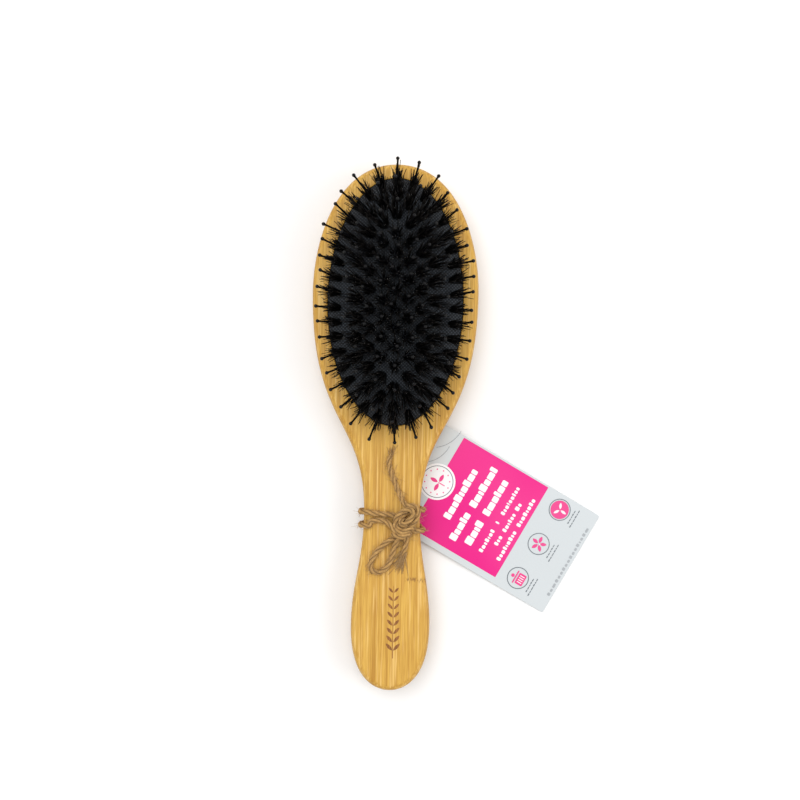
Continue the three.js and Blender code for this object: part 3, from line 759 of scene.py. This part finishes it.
def bristle_paint(tufts):
    """Natural bristle: nearly black, browner towards the tip, each one its own tone, with a pale
    painted highlight on the cut ends of some of them.
    """
    paint = Paint("boar_bristle")
    tone, along, _ = paint.parts(paint.coordinates("UV"))
    flecks = paint.noise((1500, 1500, 400))
    share = along.ramp(0.45, 1.0) * (0.25 + 0.75 * tone)
    base = paint.mix(share, tufts.root, tufts.tip)
    base = paint.mix(flecks * 0.3, base, (0.006, 0.005, 0.004))
    # Painted highlight: the ends of about a fifth of the bristles turn pale, for the shine of their
    # cut tips.
    split = along.ramp(0.90, 0.96) * tone.ramp(0.76, 0.80)
    return paint.finish(Base_Color=paint.mix(split, base, (0.60, 0.58, 0.55)),
                        Roughness=0.40 + 0.2 * flecks, Specular_IOR_Level=0.16)


class BRUSH_OT_tufts(bpy.types.Operator):
    """The pins and the bristles round them, one piece of each for every row that moves together"""
    bl_idname = "hairbrush.tufts"
    bl_label = "Pins and Bristles"

    def execute(self, context):
        tufts = context.scene.hairbrush_tufts
        chance = np.random.default_rng(7)
        kinds = (("pins", pin_tubes, pin_paint(), "nylon_pin"),
                 ("bristles", bristle_tubes, bristle_paint(tufts), "boar_bristle"))
        for row, (at, axis) in tuft_rows().items():
            for kind, shape, paint, slot in kinds:
                points, quads, uv = shape(at, axis, tufts, chance)
                piece = make_piece(f"{kind}_of_{row}", points, quads, paint, f"tufts_{row}",
                                   uv)
                nodes = [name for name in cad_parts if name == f"{kind}_{row}"
                         or (row == "rim" and name.startswith(f"{kind}_rim"))]
                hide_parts(*nodes)
        return {"FINISHED"}


# ---- Twine ----

# The twine's middle line, in millimetres from the middle of the neck's face: across, towards the
# head, and over the wood.
FROM_TAIL_TO_RIGHT = [
    (-0.7, 27.0, 1.2), (-1.5, 23.2, 1.2), (-1.1, 19.3, 1.2), (0.5, 15, 1.2), (2.4, 10.6, 1.3),
    (4.0, 7.0, 1.9), (5.4, 4.8, 2.9), (7.0, 3.9, 3.7), (9.2, 3.9, 4.0),
    (11.0, 2.6, 3.9), (11.2, -0.3, 3.6), (9.7, -3.4, 3.4), (7.1, -5.5, 3.3), (4.1, -6.2, 3.3),
    (1.8, -5.2, 3.3), (1.7, -2.4, 3.5), (3.5, 0.4, 4.0), (6.0, 2.2, 4.9), (8.3, 2.3, 5.5),
    (9.2, 0.5, 5.5), (7.9, -1.9, 5.2), (5.7, -3.9, 4.9), (4.0, -3.7, 4.1), (4.5, -1.4, 3.2),
    (6.4, 0.6, 2.4), (8.6, 2.1, 1.8),
]
FROM_LEFT_TO_RIGHT = [
    (-9.4, 0.2, 1.25), (-6.3, 0, 1.2), (-2.4, -0.2, 1.2), (1.1, -0.7, 1.2), (4.2, -1.6, 1.2),
    (6.6, -3.2, 1.2), (8.4, -4.7, 1.25),
]
FROM_LEFT_TO_TAIL = [
    (-9.3, -3.5, 1.25), (-6.2, -2.8, 1.2), (-2.8, -3.3, 1.4), (-0.3, -4.9, 2.2), (1.5, -6.7, 3.6),
    (4.0, -7.5, 4.7), (6.3, -6.8, 4.9), (8.3, -5.6, 4.0), (9.0, -6.4, 2.4), (7.0, -7.9, 1.25),
    (3.8, -8.5, 1.2), (1.1, -8.4, 1.8), (0.8, -8.3, 3.2), (2.7, -9.4, 4.4), (5.3, -9.0, 4.7),
    (7.2, -7.9, 3.8), (7.7, -9.0, 1.9), (5.5, -10.2, 1.25), (2.6, -10.5, 1.25), (-0.3, -11.1, 1.3),
    (-2.9, -13, 1.25), (-6, -16.2, 1.2), (-8.1, -19.7, 1.2), (-9.1, -22.5, 1.2), (-8.0, -24.8, 1.2),
    (-5.3, -25.4, 1.2), (-2.5, -23.7, 1.2), (-0.7, -21.1, 1.2), (0.4, -18, 1.2), (1.3, -14.6, 1.3),
    (2.2, -12, 1.9), (3.0, -9.9, 2.7), (4.2, -8.2, 2.9), (5.5, -8.4, 2.7), (6.2, -10.2, 2.0),
    (6.4, -12.2, 1.4), (5.8, -15, 1.2), (4.8, -18.2, 1.2),
]
# Under the neck and through the tag, in millimetres from the tag's hole: across, towards the head,
# and over the floor.
UNDER_TAG = [
    (6.2, -1.6, 6.2), (3.9, -0.9, 4.8), (1.6, -0.3, 4.1), (0, 0, 2.9), (-1.6, 0.1, 1.7),
    (-4, 0, 1.4), (-9, -0.2, 1.5), (-14, -0.5, 2.6), (-17.6, -0.8, 5),
]


def beside_neck(wood, radius, along_y):
    """The section of the neck's right half pushed out by the twine's radius, from its front edge to
    its back, at a place along the brush."""
    y = np.array([NECK_Y])
    inset, z = wood_section(wood, y)
    points = np.stack([wood.neck_width / 2 - inset[0], z[0]], axis=1)[::2]
    along = unit(np.gradient(points, axis=0))
    off = radius + 0.25 * MM
    x, z = points[:, 0] - along[:, 1] * off, points[:, 1] + along[:, 0] * off
    return np.stack([x, np.full(len(x), NECK_Y + along_y), z], axis=1)


def twine_line(wood, radius):
    """The whole twine as one smooth line: tail, coil, turn, turn through the tag, knot, bow and
    tail."""
    def on_face(points):
        return np.array(points) * MM + [0, NECK_Y, FACE_Z]

    mirror = np.array([-1, 1, 1])
    upper_right = beside_neck(wood, radius, 1.6 * MM)
    upper_left = beside_neck(wood, radius, 0.5 * MM)[::-1] * mirror
    lower_right = beside_neck(wood, radius, -7.2 * MM)
    lower_left = beside_neck(wood, radius, -5.3 * MM)[::-1] * mirror
    dip = np.array(UNDER_TAG) * MM + [TAG_HOLE[0], TAG_HOLE[1], 0]
    corners = np.concatenate([
        on_face(FROM_TAIL_TO_RIGHT), upper_right[1:], upper_left[:-1], on_face(FROM_LEFT_TO_RIGHT),
        lower_right[1:8], dip, lower_left[5:-1], on_face(FROM_LEFT_TO_TAIL)])
    return smooth_line(corners, 0.30 * MM)


def smooth_line(corners, step):
    """A Catmull-Rom curve through corners at even steps: each span is the cubic whose end slopes
    come from its neighbours, and the result is smoothed once along its length."""
    before, after = 2 * corners[0] - corners[1], 2 * corners[-1] - corners[-2]
    padded = np.concatenate([[before], corners, [after]])[:, None]
    a, b, c, d = padded[:-3], padded[1:-2], padded[2:-1], padded[3:]
    t = np.linspace(0, 1, 24, endpoint=False)[None, :, None]
    spans = 0.5 * (2 * b + (c - a) * t + (2 * a - 5 * b + 4 * c - d) * t ** 2
                   + (3 * b - a - 3 * c + d) * t ** 3)
    line = np.concatenate([spans.reshape(-1, 3), corners[-1:]])
    line = even_line(line, step)
    weights = np.array([1, 3, 5, 7, 5, 3, 1]) / 25
    ends = np.concatenate([np.repeat(line[:1], 3, axis=0), line, np.repeat(line[-1:], 3, axis=0)])
    line = sum(weight * ends[k:k + len(line)] for k, weight in enumerate(weights))
    return even_line(line, step)


def even_line(line, step):
    """The same line with its points at even steps along it."""
    travelled = travel(line)
    count = int(round(travelled[-1] / step)) + 1
    at = np.linspace(0, travelled[-1], count)
    return np.stack([np.interp(at, travelled, line[:, k]) for k in range(3)], axis=1)


def carried_frame(line):
    """Unit tangents, and across directions carried along the line without turning about it."""
    tangent = unit(np.gradient(line, axis=0))
    across = np.empty_like(tangent)
    across[0] = unit(np.cross(tangent[0], [0.0, 0.0, 1.0]))
    for ring in range(1, len(line)):
        carried = across[ring - 1] - tangent[ring] * np.dot(across[ring - 1], tangent[ring])
        across[ring] = carried / np.linalg.norm(carried)
    return tangent, across, np.cross(tangent, across)


def twine_mesh(line, twine, chance):
    """Three plies laid round the line: the section is the outline of three touching circles, and it
    turns steadily as it goes along. Low waves along the plies make it uneven."""
    sides = 27
    tangent, across, upright = carried_frame(line)
    travelled = np.arange(len(line)) * np.linalg.norm(line[1] - line[0])
    spin = TAU * travelled / twine.lay
    angle = np.arange(sides) * TAU / sides
    ply, offset = 0.56 * twine.radius, 0.46 * twine.radius
    away = (angle * 3 / TAU - np.round(angle * 3 / TAU)) * TAU / 3
    section = offset * np.cos(away) + np.sqrt(ply ** 2 - (offset * np.sin(away)) ** 2)
    phases = chance.random(6) * TAU
    waves = sum(np.sin(k * 520 * travelled[:, None] + (k % 3) * angle + phase)
                for k, phase in enumerate(phases, 1)) / len(phases)
    radius = section * (1 + 0.14 * waves)
    taper = np.clip(np.minimum(travelled, travelled[::-1]) / (2.5 * MM), 0.35, 1)[:, None]
    turn = angle[None] + spin[:, None]
    points = line[:, None] + (radius * taper)[..., None] * (
        across[:, None] * np.cos(turn)[..., None] + upright[:, None] * np.sin(turn)[..., None])
    points = np.concatenate([np.broadcast_to(line[:1, None], (1, sides, 3)), points,
                             np.broadcast_to(line[-1:, None], (1, sides, 3))])
    share = np.concatenate([[0], travelled, [travelled[-1]]])[:, None] / MM
    # The first UV value is 1 on the crest of each ply and 0 in the grooves, where the jute's paint
    # lays its painted shade.
    depth = np.cos(away * 1.5)[None] + 0 * share
    uv = np.stack(np.broadcast_arrays(depth, share), axis=-1)
    return points, grid_quads(len(points), sides), uv


def loose_fibres(line, twine, chance, count):
    """Fibres that stand off the twine: each leaves its surface at a low angle and curls by a square
    law. None goes below the wood or the surface the brush lies on."""
    tangent, across, upright = carried_frame(line)
    ring = chance.integers(4, len(line) - 4, count)
    angle = chance.random(count) * TAU
    out = across[ring] * np.cos(angle)[:, None] + upright[ring] * np.sin(angle)[:, None]
    sign = np.where(chance.random(count) < 0.5, -1.0, 1.0)[:, None]
    way = unit(tangent[ring] * sign + out * (0.25 + 0.5 * chance.random((count, 1))))
    base = line[ring] + out * twine.radius * 0.7
    lengths = (1.4 + 3.0 * chance.random(count) ** 2)[:, None, None] * MM
    share = np.array([0.0, 0.35, 0.7, 1.0])[:, None]
    curl = chance.normal(0, 0.28, (count, 1, 3))
    centres = bent_lines(base, way[:, None], curl, lengths, share)
    x, _, z = line[ring].T
    in_front = z > 14 * MM
    lowest = np.where(in_front & (np.abs(x) < 10.5 * MM), FACE_Z + 0.15 * MM, 0.3 * MM)
    centres[..., 2] = np.maximum(centres[..., 2], lowest[:, None])
    in_wood = (centres[..., 2] < FACE_Z) & (np.abs(centres[..., 0]) < 12.6 * MM)
    keep = (in_front | (chance.random(count) < 0.25)) & ~in_wood.any(axis=1)
    thick = 0.062 * MM * (0.7 + 0.6 * chance.random(count))
    radii = thick[:, None] * np.array([1.0, 0.9, 0.7, 0.35])
    return straight_tubes(centres[keep], radii[keep], 3, chance.random(count)[keep])


def frayed_end(end, way, count, reach, spread, chance):
    """Strands fanning out from a cut end of the twine, lying on the wood."""
    way = unit(way)
    side = unit(np.cross(way, [0.0, 0.0, 1.0]))
    fan = chance.normal(0, spread, (count, 1, 1))
    start = (end - way * 2.5 * MM * chance.random((count, 1))
             + side * chance.normal(0, 0.75 * MM, (count, 1)))
    lengths = reach * (0.35 + 0.65 * chance.random(count))[:, None, None]
    share = np.array([0.0, 0.3, 0.65, 1.0])[:, None]
    curl = chance.normal(0, 0.18, (count, 1, 3))
    centres = bent_lines(start, way + side * fan, curl, lengths, share)
    lift = 0.15 * MM + 1.3 * MM * chance.random((count, 1)) * (1 - 0.7 * share.T)
    centres[..., 2] = FACE_Z + lift
    thick = 0.11 * MM * (0.6 + 0.8 * chance.random(count))
    radii = thick[:, None] * np.array([1.0, 1.0, 0.8, 0.4])
    return straight_tubes(centres, radii, 4, chance.random(count))


def jute_paint(twine):
    """Raw jute: tan, with painted shade between the plies and fibre streaks that run with the
    twist.
    """
    paint = Paint("jute")
    depth, _, _ = paint.parts(paint.coordinates("UV"))
    streaks = paint.noise((9, 0.55, 1), 3.0, 0.7, kind="UV")
    patches = paint.noise(260)
    # Painted shade: towards the grooves between the plies the jute darkens to the dark jute colour.
    groove = 1 - depth.ramp(-0.05, 0.75)
    tones = streaks.ramp(0.36, 0.62) * 0.75 + patches * 0.2
    base = paint.mix(tones, twine.light, (0.34, 0.185, 0.055))
    base = paint.mix(groove * 0.9, base, twine.dark)
    return paint.finish(Base_Color=base, Roughness=0.85 + 0.1 * streaks,
                        Normal=paint.bump(streaks + 0.3 * depth, 0.2 * MM, 0.9))


def fibre_paint(twine):
    """Single jute fibres: pale tan, each one its own tone."""
    paint = Paint("jute_fibre")
    tone, _, _ = paint.parts(paint.coordinates("UV"))
    base = paint.mix(tone, (0.60, 0.39, 0.175), (0.36, 0.205, 0.080))
    flecks = paint.noise(1800, 1.0)
    base = paint.mix(flecks * 0.3, base, twine.dark)
    return paint.finish(Base_Color=base, Roughness=0.8 + 0.1 * flecks)


class BRUSH_OT_twine(bpy.types.Operator):
    """The jute twine, wound twice round the neck, through the tag and tied in a bow"""
    bl_idname = "hairbrush.twine"
    bl_label = "Twine"

    def execute(self, context):
        twine = context.scene.hairbrush_twine
        wood = context.scene.hairbrush_wood
        chance = np.random.default_rng(11)
        line = twine_line(wood, twine.radius)
        points, quads, uv = twine_mesh(line, twine, chance)
        rope = make_piece("jute_twine", points, quads, jute_paint(twine), "brush", uv)
        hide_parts(*[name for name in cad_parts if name.startswith("twine_")])
        grids = [loose_fibres(line, twine, chance, 1900),
                 frayed_end(line[0], line[0] - line[8], 18, 6 * MM, 0.16, chance),
                 frayed_end(line[-1], line[-1] - line[-9], 80, 9 * MM, 0.26, chance)]
        points, quads = together([(points, quads) for points, quads, _ in grids])
        uv = np.concatenate([uv.reshape(-1, 2) for _, _, uv in grids])
        fuzz = make_piece("twine_fibres", points, quads, fibre_paint(twine), "brush",
                          uv)
        return {"FINISHED"}


# ---- Swing tag ----

def on_tag(points):
    """Points in the card's own plane, from its hole along and across it, laid where the card is."""
    x, y, z = np.moveaxis(points, -1, 0)
    cos, sin = math.cos(TAG_DROP), math.sin(TAG_DROP)
    flat = turned(np.stack([x * cos + z * sin, y], axis=-1), TAG_TURN)
    return np.concatenate([flat, (z * cos - x * sin)[..., None]], axis=-1) + TAG_HOLE


def round_box(x0, x1, y0, y1, radius, steps=6):
    """The outline of a box with rounded corners, in millimetres."""
    angle = np.linspace(0, TAU / 4, steps)
    corners = []
    for turn, (x, y) in enumerate(((x1 - radius, y1 - radius), (x0 + radius, y1 - radius),
                                   (x0 + radius, y0 + radius), (x1 - radius, y0 + radius))):
        swept = angle + turn * TAU / 4
        corners.append(np.stack([x + radius * np.cos(swept), y + radius * np.sin(swept)], axis=1))
    return np.concatenate(corners)


def disc(x, y, radius, sides=48):
    """The outline of a circle."""
    angle = np.arange(sides) * TAU / sides
    return np.stack([x + radius * np.cos(angle), y + radius * np.sin(angle)], axis=1)


def petals(x, y, inner, outer, count, wide, turn=0.0):
    """Leaves set like spokes between two radii."""
    shapes = []
    for k in range(count):
        leaf = leaf_points(7, wide / (outer - inner)) * (outer - inner) + [inner, 0]
        shapes.append(turned(leaf, turn + k * TAU / count) + [x, y])
    return shapes


def dashes(x, y0, y1, thick, pieces, gap):
    """A line of plain bars on one foot line across the card, every third one taller. The shares are
    their widths."""
    shares = np.array(pieces, dtype=float)
    room = (y1 - y0) - gap * (len(shares) - 1)
    ends = np.cumsum(shares / shares.sum() * room + gap)
    starts = np.concatenate([[0], ends[:-1]])
    radius = min(thick * 0.24, 0.45)
    tops = [x - thick * (0.5 if k % 3 == 0 else 0.28) for k in range(len(shares))]
    return [round_box(top, x + thick / 2, y0 + start, y0 + end - gap, radius, 3)
            for top, start, end in zip(tops, starts, ends)]


def printed(shapes, layer):
    """Ink as thin closed plates: each layer lies a little higher on the card."""
    low = CARD_HALF + INK_GAP + INK_LAYER * layer
    high = low + INK_THICK
    points, quads = together([ring_slab(*shape, low, high) if isinstance(shape, tuple)
                              else slab(shape, low, high) for shape in shapes])
    return on_tag(points * MM), quads


def arc_band(x, y, radius, start, end, wide):
    """A thin band along part of a circle, as short bars that follow it."""
    angle = np.radians(np.linspace(start, end, 15))
    ray = np.stack([np.cos(angle), np.sin(angle)], axis=1)
    outer, inner = ray * (radius + wide / 2) + [x, y], ray * (radius - wide / 2) + [x, y]
    return [np.stack([outer[k], outer[k + 1], inner[k + 1], inner[k]]) for k in range(14)]


# Print on the card, in millimetres from its hole
PANEL = (3.6, 47.7, -1.6, 45.2)
BADGE = (3.3, 22.1)
SIGNS = [(57.2, 39.2), (56.9, 21.2), (56.7, 3.3)]
# Lines of plain bars: where along the card, from and to across it, and the widths of the bars
BOLD_LINES = [
    (15.2, 10.1, 35.2, (1, 1.3, 0.9, 1.2, 0.6, 1.1, 1, 1.3, 0.8)),
    (22.3, 3.1, 16.9, (1.1, 0.8, 1.2, 0.6, 1)),
    (22.5, 20.4, 40.4, (1, 1.2, 0.5, 1.1, 0.9, 1.3, 0.7)),
    (29.3, 4.9, 16.6, (1.2, 1.0, 0.5, 0.9)),
    (29.5, 20.3, 38, (0.9, 1.3, 1, 0.6, 1.1, 0.9)),
]
THIN_LINES = [
    (36.0, 4.9, 16.2, (1, 1.2, 0.7, 1, 0.5, 1.1, 0.9)), (36.0, 19.6, 20.4, (1,)),
    (36.0, 24.2, 38.3, (1, 0.8, 1.2, 0.5, 1, 1.1, 0.7, 1, 0.9)),
    (40.4, 11, 15.6, (1, 0.8, 1.1)), (40.5, 18, 27.2, (1, 1.2, 0.6, 0.8, 1, 0.9)),
    (40.5, 29, 32.5, (1, 0.7)), (44.8, 5.6, 20.6, (1, 0.9, 1.2, 0.8, 0.5, 1.1, 1, 0.7, 1)),
    (44.8, 23.2, 37.3, (1, 0.7, 1.2, 1, 0.6, 1.1, 0.9, 1)),
]
CAPTIONS = [(6.3, -3.6, 3.2, (1, 1.3, 0.8, 1, 1.2)), (7.9, -4.6, 4.2, (1, 0.9, 1.4, 1, 0.7, 1.1))]
END_LINE = (72.4, 3.4, 38.4, (1, 1, 1.5, *[1] * 10, 0.4, 1, 1, 1.5))


def print_shapes():
    """The print on the card, by ink: a panel, plain bars for its lines, a badge and three signs."""
    pink = [round_box(*PANEL, 0.2, 2)]
    white = [disc(*BADGE, 8.2)]
    for lines, thick, gap in ((BOLD_LINES, 3.6, 0.32), (THIN_LINES, 2.0, 0.42)):
        for x, y0, y1, bars in lines:
            white += dashes(x, y0, y1, thick, bars, gap)
    grey = [(disc(*BADGE, 7.25), disc(*BADGE, 6.95))]
    for x, y in SIGNS:
        grey.append((disc(x, y, 4.95), disc(x, y, 4.6)))
        for below, y0, y1, bars in CAPTIONS:
            grey += dashes(x + below, y + y0, y + y1, 0.45, bars, 0.3)
    grey += arc_band(-14, 47, 15, -52, 0, 0.14) + arc_band(-13.5, 38, 13.5, -58, 2, 0.14)
    first, second, third = SIGNS
    x, y = BADGE
    rose = [disc(x + 5.6 * math.cos(k * TAU / 12), y + 5.6 * math.sin(k * TAU / 12), 0.32, 12)
            for k in range(12)]
    rose += petals(x + 0.9, y, 0.3, 4.2, 2, 0.85, TAU / 4)
    rose += petals(x + 0.6, y, 0.3, 4.2, 1, 0.85, TAU / 2)
    rose += [round_box(x + 0.6, x + 3.9, y - 0.2, y + 0.2, 0.15, 3)]
    rose += [disc(*first, 4.15), *petals(*second, 0.4, 3.6, 5, 0.75, 0.4)]
    x, y = third
    rose += [round_box(x - 0.4, x + 3.2, y - 2.6, y + 2.6, 0.5), disc(x - 2.6, y, 0.8, 20),
             round_box(x - 1.5, x - 0.9, y - 3.1, y + 3.1, 0.25)]
    pale = petals(first[0] + 0.2, first[1], 0.3, 3.3, 3, 0.6, 2.0)
    pale += petals(*second, 0.0, 0.9, 1, 0.3)
    pale += [round_box(x + 0.3, x + 2.6, y + k - 0.2, y + k + 0.2, 0.15)
             for k in (-1.5, -0.5, 0.5, 1.5)]
    fine = dashes(*END_LINE[:3], 1.25, END_LINE[3], 0.7)
    return {"pink_panel": (pink, 0), "white_print": (white, 1), "grey_print": (grey, 2),
            "rose_print": (rose, 2), "pale_print": (pale, 3), "fine_print": (fine, 2)}


def card_mesh():
    """The card as a ring between its outline and its hole, cut by the same rays from the hole's
    middle, with its edges bevelled."""
    outline = round_box(*CARD, CARD_CORNER, 7)
    outline = outline[np.argsort(np.arctan2(outline[:, 1], outline[:, 0]))]
    hole = HOLE_RADIUS * unit(outline)
    wide = (HOLE_RADIUS + CARD_BEVEL) * unit(outline)
    small = outline - CARD_BEVEL * np.sign(outline)
    top, shoulder = CARD_HALF, CARD_HALF - CARD_BEVEL
    rings = stacked((wide, top), (small, top), (outline, shoulder), (outline, -shoulder),
                    (small, -top), (wide, -top), (hole, -shoulder), (hole, shoulder), (wide, top))
    return on_tag(rings * MM), grid_quads(len(rings), len(outline))


def card_paint(tag):
    """Coated card: a faint cloud of grey and the tooth of the paper."""
    paint = Paint("tag_card")
    cloud = paint.noise(22, 1.0)
    tooth = paint.noise(2600)
    base = paint.mix(cloud * 0.5 + tooth * 0.12, tag.card, (0.52, 0.555, 0.57))
    return paint.finish(Base_Color=base, Roughness=0.42 + 0.1 * tooth,
                        Normal=paint.bump(tooth, 0.01 * MM, 0.5))


def ink_paint(name, first, second):
    """Printed ink: one tone that drifts to another in a soft cloud, finely grained."""
    paint = Paint(name)
    cloud = paint.noise(18, 1.0, shift=(1, 2, 3))
    grain = paint.noise(3000, 1.0)
    base = paint.mix(cloud.ramp(0.3, 0.7) * 0.8 + grain * 0.2, first, second)
    return paint.finish(Base_Color=base, Roughness=0.38 + 0.12 * grain, Specular_IOR_Level=0.2,
                        Normal=paint.bump(grain, 0.008 * MM, 0.4))


class BRUSH_OT_tag(bpy.types.Operator):
    """The printed card that hangs from the twine"""
    bl_idname = "hairbrush.tag"
    bl_label = "Swing Tag"

    def execute(self, context):
        tag = context.scene.hairbrush_tag
        points, quads = card_mesh()
        card = make_piece("printed_card", points, quads, card_paint(tag), "tag",
                          smooth=False)
        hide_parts("swing_tag")
        inks = {
            "pink_panel": ink_paint("pink_ink", tag.panel, (0.82, 0.060, 0.275)),
            "white_print": ink_paint("white_ink", (0.88, 0.88, 0.89), (0.80, 0.81, 0.82)),
            "grey_print": ink_paint("grey_ink", tag.ink, (0.22, 0.24, 0.26)),
            "rose_print": ink_paint("rose_ink", (0.80, 0.05, 0.24), (0.75, 0.09, 0.28)),
            "pale_print": ink_paint("pale_ink", (0.86, 0.80, 0.83), (0.80, 0.76, 0.79)),
            "fine_print": ink_paint("fine_ink", (0.34, 0.36, 0.38), (0.42, 0.44, 0.46)),
        }
        for name, (shapes, layer) in print_shapes().items():
            points, quads = printed(shapes, layer)
            make_piece(name, points, quads, inks[name], "tag", smooth=False, merge=1e-8)
        return {"FINISHED"}


# ---- Stage ----

# Where the camera stands over the brush and how far it is rolled, and the floor just under it
CAMERA_OVER = (2.67 * MM, 12 * MM)
CAMERA_ROLL = math.radians(0.97)
FLOOR_HALF = 4.0
FLOOR_Z = -0.3 * MM

def floor_paint(stage):
    """A pale, very finely mottled floor."""
    paint = Paint("pale_floor")
    mottle = paint.noise(60, 3.0)
    base = paint.mix(mottle, stage.floor, tuple(0.985 * part for part in stage.floor))
    return paint.finish(Base_Color=base, Roughness=0.75 + 0.05 * mottle)


def soft_light(name, place, size, power):
    """A square light that faces the brush's middle."""
    light = bpy.data.lights.new(name, "AREA")
    light.shape = "SQUARE"
    light.size = size
    light.energy = power
    lamp = bpy.data.objects.new(name, light)
    bpy.context.scene.collection.objects.link(lamp)
    way = -np.array(place)
    lamp.location = place
    lamp.rotation_euler = (math.acos(-way[2] / np.linalg.norm(way)), 0,
                           math.atan2(way[1], way[0]) - math.pi / 2)


class BRUSH_OT_stage(bpy.types.Operator):
    """The camera straight over the brush, a pale floor and soft light"""
    bl_idname = "hairbrush.stage"
    bl_label = "Stage"

    def execute(self, context):
        stage = context.scene.hairbrush_stage
        scene = context.scene
        lens = bpy.data.cameras.new("overhead_camera")
        lens.lens = stage.lens
        lens.sensor_width = 36
        lens.clip_start = 0.01
        camera = bpy.data.objects.new("overhead_camera", lens)
        scene.collection.objects.link(camera)
        camera.location = (*CAMERA_OVER, stage.camera_height)
        camera.rotation_euler = (0, 0, CAMERA_ROLL)
        scene.camera = camera
        world = bpy.data.worlds.new("studio")
        world.use_nodes = True
        world.node_tree.nodes["Background"].inputs["Color"].default_value = (1, 1, 1, 1)
        world.node_tree.nodes["Background"].inputs["Strength"].default_value = 0.72
        scene.world = world
        scene.view_settings.view_transform = "Standard"
        soft_light("top_light", (-0.25, 0.35, 1.1), 0.9, 7)
        soft_light("side_light", (0.75, -0.1, 0.7), 0.6, 2.5)
        corners = [(x * FLOOR_HALF, y * FLOOR_HALF, FLOOR_Z)
                   for x, y in ((-1, -1), (1, -1), (1, 1), (-1, 1))]
        mesh = bpy.data.meshes.new("floor")
        mesh.from_pydata(corners, [], [(0, 1, 2, 3)])
        mesh.materials.append(floor_paint(stage))
        floor = bpy.data.objects.new("floor", mesh)
        scene.collection.objects.link(floor)
        return {"FINISHED"}


class BRUSH_PT_panel(bpy.types.Panel):
    """Every step of the brush, in order"""
    bl_label = "Hair Brush"
    bl_idname = "BRUSH_PT_panel"
    bl_space_type = "VIEW_3D"
    bl_region_type = "UI"
    bl_category = "Hair Brush"

    def draw(self, context):
        for group in GROUPS:
            settings = getattr(context.scene, group)
            box = self.layout.box()
            for name in settings.__annotations__:
                box.prop(settings, name)
        for operator in OPERATORS:
            self.layout.operator(operator.bl_idname)


GROUPS = {"hairbrush_stage": StageSettings, "hairbrush_wood": WoodSettings,
          "hairbrush_cushion": CushionSettings, "hairbrush_tufts": TuftSettings,
          "hairbrush_twine": TwineSettings, "hairbrush_tag": TagSettings}
OPERATORS = (BRUSH_OT_stage, BRUSH_OT_twine, BRUSH_OT_wood, BRUSH_OT_cushion, BRUSH_OT_tufts,
             BRUSH_OT_tag)


def register():
    for name, group in GROUPS.items():
        bpy.utils.register_class(group)
        setattr(bpy.types.Scene, name, bpy.props.PointerProperty(type=group))
    for made in (*OPERATORS, BRUSH_PT_panel):
        bpy.utils.register_class(made)


def unregister():
    for made in reversed((*OPERATORS, BRUSH_PT_panel)):
        bpy.utils.unregister_class(made)
    for name, group in reversed(GROUPS.items()):
        delattr(bpy.types.Scene, name)
        bpy.utils.unregister_class(group)


def main():
    register()
    for operator in OPERATORS:
        step = getattr(bpy.ops.hairbrush, operator.bl_idname.split(".")[1])
        if step() != {"FINISHED"}:
            raise RuntimeError(operator.bl_label + " could not be made")


if __name__ == "__main__":
    main()
